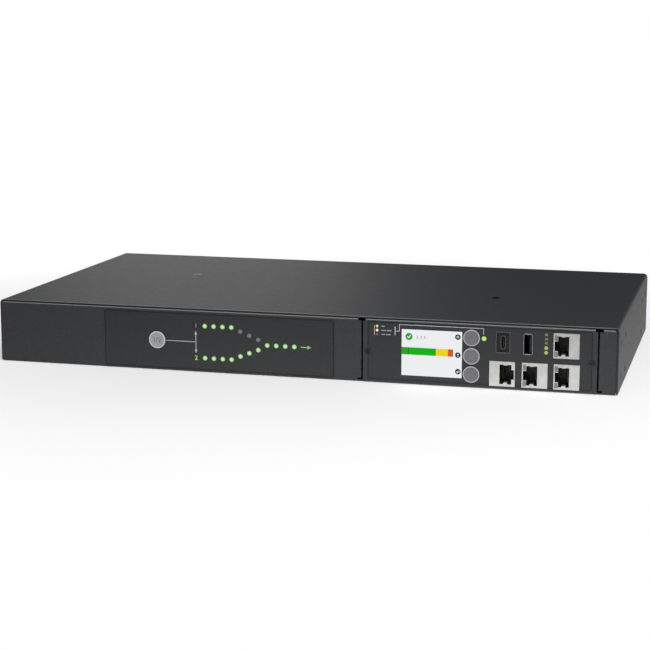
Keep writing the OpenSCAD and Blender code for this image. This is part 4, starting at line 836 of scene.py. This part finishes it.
# ---------------------------------------------------------------- board components
# Two pairs of power relays, ring current sensors, film capacitors, varistors, supply
# transformers and fuses, each in the case colour that such parts are sold in.
CASE_MOTTLE = 1.8 * MM    # flow marks of moulding and dipping
parts = [
    ("moulded_relay_case", "#15181E", "#1D2129", 0.3, 0.0, ("source_a_relays", "source_b_relays")),
    ("potted_blue_ring", "#1B3A8C", "#2448A6", 0.35, 0.0, ("current_sensors",)),
    ("boxed_film_capacitor_yellow", "#C29A25", "#D4AE3C", 0.4, 0.0, ("filter_capacitors",)),
    ("dipped_epoxy_disc_blue", "#27569E", "#3367B4", 0.3, 0.0, ("varistors",)),
    ("polyester_coil_tape_yellow", "#CDAF32", "#E0C552", 0.45, 0.0, ("supply_transformers",)),
    ("ceramic_fuse_tube_white", "#CFCFCB", "#E2E2DF", 0.3, 0.0, ("input_fuses",)),
    ("extruded_aluminium", "#A9ACB0", "#C0C3C7", 0.38, 1.0, ("processor_heatsink",)),
    ("coin_cell_steel", "#B5B6B8", "#CBCCCE", 0.28, 1.0, ("clock_battery",)),
    ("grey_ribbon_cable_vinyl", "#77797F", "#8B8D93", 0.5, 0.0, ("display_ribbon", "module_ribbon")),
]
for name, dark, light, rough, metal, names in parts:
    dress(clouded(name, CASE_MOTTLE, dark, light, 0.05 * MM, 0.3, Roughness=rough, Metallic=metal),
          *names)

# The leads have the brown, blue and green-yellow sheaths of mains wiring. They stand
# side by side, so a stepped ramp along X gives each its own colour, from the first
# lead's to the last's
BROWN, GREEN, BLUE = "#4A2C1C", "#4F8A2E", "#2450A8"
sheath, tree, body = new_material("vinyl_wire_sheath", Roughness=0.4)
lead_low, lead_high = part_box("power_leads")
place = add(tree, "ShaderNodeTexCoord").outputs["Object"]
across = add(tree, "ShaderNodeSeparateXYZ", [("Vector", place)])
share = add(tree, "ShaderNodeMapRange", [("Value", across.outputs[0])],
            From_Min=lead_low[0], From_Max=lead_high[0])
ramp = add(tree, "ShaderNodeValToRGB", [("Fac", share.outputs[0])])
ramp.color_ramp.interpolation = "CONSTANT"
ramp.color_ramp.elements[0].color = linear(BROWN)
ramp.color_ramp.elements[1].color = linear(BLUE)
ramp.color_ramp.elements[1].position = 0.93
for at, code in ((0.09, GREEN), (0.135, BLUE), (0.37, BROWN), (0.42, GREEN), (0.47, BLUE),
                 (0.75, BROWN), (0.84, GREEN)):
    ramp.color_ramp.elements.new(at).color = linear(code)
tree.links.new(ramp.outputs[0], body.inputs["Base Color"])
smear = add(tree, "ShaderNodeTexNoise", [("Vector", place)], Scale=1 / (2 * MM))
bumps = add(tree, "ShaderNodeBump", [("Height", smear.outputs[0])], Distance=0.03 * MM, Strength=0.3)
tree.links.new(bumps.outputs[0], body.inputs["Normal"])
dress(sheath, "power_leads")

# ---------------------------------------------------------------- studio
# A wide pale floor, an even grey room, one large soft light over the front, one at
# the right behind, one low behind at the left that draws a sheen along the cover,
# and a low strip behind that lights the sockets and stays under the cover's level.
FLOOR_HALF = 6.0
FLOOR_DROP = 0.2 * MM     # keeps the floor just under the tray's base
floor_mesh = bpy.data.meshes.new("floor")
floor_mesh.from_pydata([(x, y, -FLOOR_DROP) for x, y in (
    (-FLOOR_HALF, -FLOOR_HALF), (FLOOR_HALF, -FLOOR_HALF), (FLOOR_HALF, FLOOR_HALF),
    (-FLOOR_HALF, FLOOR_HALF))], [], [(0, 1, 2, 3)])
floor = bpy.data.objects.new("floor", floor_mesh)
bpy.context.scene.collection.objects.link(floor)
paper, tree, body = new_material("white_paper", Roughness=0.9, Base_Color=linear("#F6F6F6"))

# What the switch reflects of the floor is darker in front and at both sides, as black
# cards beside it would make it. Seen directly, the floor is pale, and it turns to pure
# white away from the switch
seen = add(tree, "ShaderNodeLightPath").outputs["Is Camera Ray"]
spot = add(tree, "ShaderNodeTexCoord").outputs["Object"]
away = add(tree, "ShaderNodeVectorMath", [(0, spot)], operation="LENGTH")
blank = add(tree, "ShaderNodeMapRange", [("Value", away.outputs["Value"])],
            From_Min=0.1, From_Max=0.45)
share = add(tree, "ShaderNodeMath", [(0, blank.outputs[0]), (1, seen)], operation="MULTIPLY")
ahead = add(tree, "ShaderNodeSeparateXYZ", [("Vector", spot)])
lit = 1.0
for axis, start, end, low, high in ((1, -0.42, -0.16, 0.2, 0.95), (0, -0.35, -0.05, 0.5, 1.0),
                                    (0, 0.2, 0.4, 1.0, 0.35)):
    card = add(tree, "ShaderNodeMapRange", [("Value", ahead.outputs[axis])],
               From_Min=start, From_Max=end, To_Min=low, To_Max=high)
    lit = add(tree, "ShaderNodeMath", [(0, lit), (1, card.outputs[0])],
              operation="MULTIPLY").outputs[0]
lit = add(tree, "ShaderNodeMath", [(0, lit), (1, seen)], operation="MAXIMUM").outputs[0]
tint = add(tree, "ShaderNodeCombineColor", [("Red", lit), ("Green", lit), ("Blue", lit)])
tree.links.new(tint.outputs[0], body.inputs["Base Color"])
white = add(tree, "ShaderNodeEmission", Color=(1, 1, 1, 1), Strength=1.0)
blend = add(tree, "ShaderNodeMixShader", [(0, share.outputs[0]), (1, body.outputs[0]),
                                          (2, white.outputs[0])])
end = [n for n in tree.nodes if n.bl_idname == "ShaderNodeOutputMaterial"][0]
tree.links.new(blend.outputs[0], end.inputs["Surface"])
floor_mesh.materials.append(paper)

# The room is white where it is seen, and lights the switch more from in front than from
# behind
world = bpy.data.worlds.new("studio")
bpy.context.scene.world = world
world.use_nodes = True
tree = world.node_tree
tree.nodes.clear()
path = add(tree, "ShaderNodeLightPath")
behind = add(tree, "ShaderNodeBackground", Color=(1, 1, 1, 1), Strength=1.0)
facing = add(tree, "ShaderNodeTexCoord")
parts_of = add(tree, "ShaderNodeSeparateXYZ", [("Vector", facing.outputs["Generated"])])
glow = add(tree, "ShaderNodeMapRange", [("Value", parts_of.outputs[1])], From_Min=-1.0,
           From_Max=1.0, To_Min=0.3, To_Max=0.012)
room = add(tree, "ShaderNodeBackground", [("Strength", glow.outputs[0])], Color=(1, 1, 1, 1))
both = add(tree, "ShaderNodeMixShader", [(0, path.outputs["Is Camera Ray"]),
                                         (1, room.outputs[0]), (2, behind.outputs[0])])
add(tree, "ShaderNodeOutputWorld", [("Surface", both.outputs[0])])


def soft_light(name, place, target, width, height, power):
    """A flat area light of one width and height at one point, which faces another: its
    tilt is the angle from straight down, and its turn the compass angle of the way."""
    data = bpy.data.lights.new(name, "AREA")
    data.shape = "RECTANGLE"
    data.size = width
    data.size_y = height
    data.energy = power
    light = bpy.data.objects.new(name, data)
    way = np.array(target, float) - np.array(place, float)
    light.location = place
    light.rotation_euler = (math.atan2(math.hypot(way[0], way[1]), -way[2]), 0,
                            math.atan2(-way[0], way[1]))
    light.visible_camera = False
    bpy.context.scene.collection.objects.link(light)


soft_light("top_light", (0.7, -1.12, 1.34), (0, -0.1, 0), 1.2, 1.2, 33)
soft_light("right_light", (1.35, 1.35, 0.3), (0.2, 0, 0.02), 0.8, 0.8, 5.4)
soft_light("back_light", (-0.78, 1.86, 0.45), (-0.12, 0, 0.04), 0.65, 0.65, 2.02)
soft_light("rear_strip", (0, 0.78, 0.022), (0, 0.12, 0.022), 0.5, 0.036, 1.2)
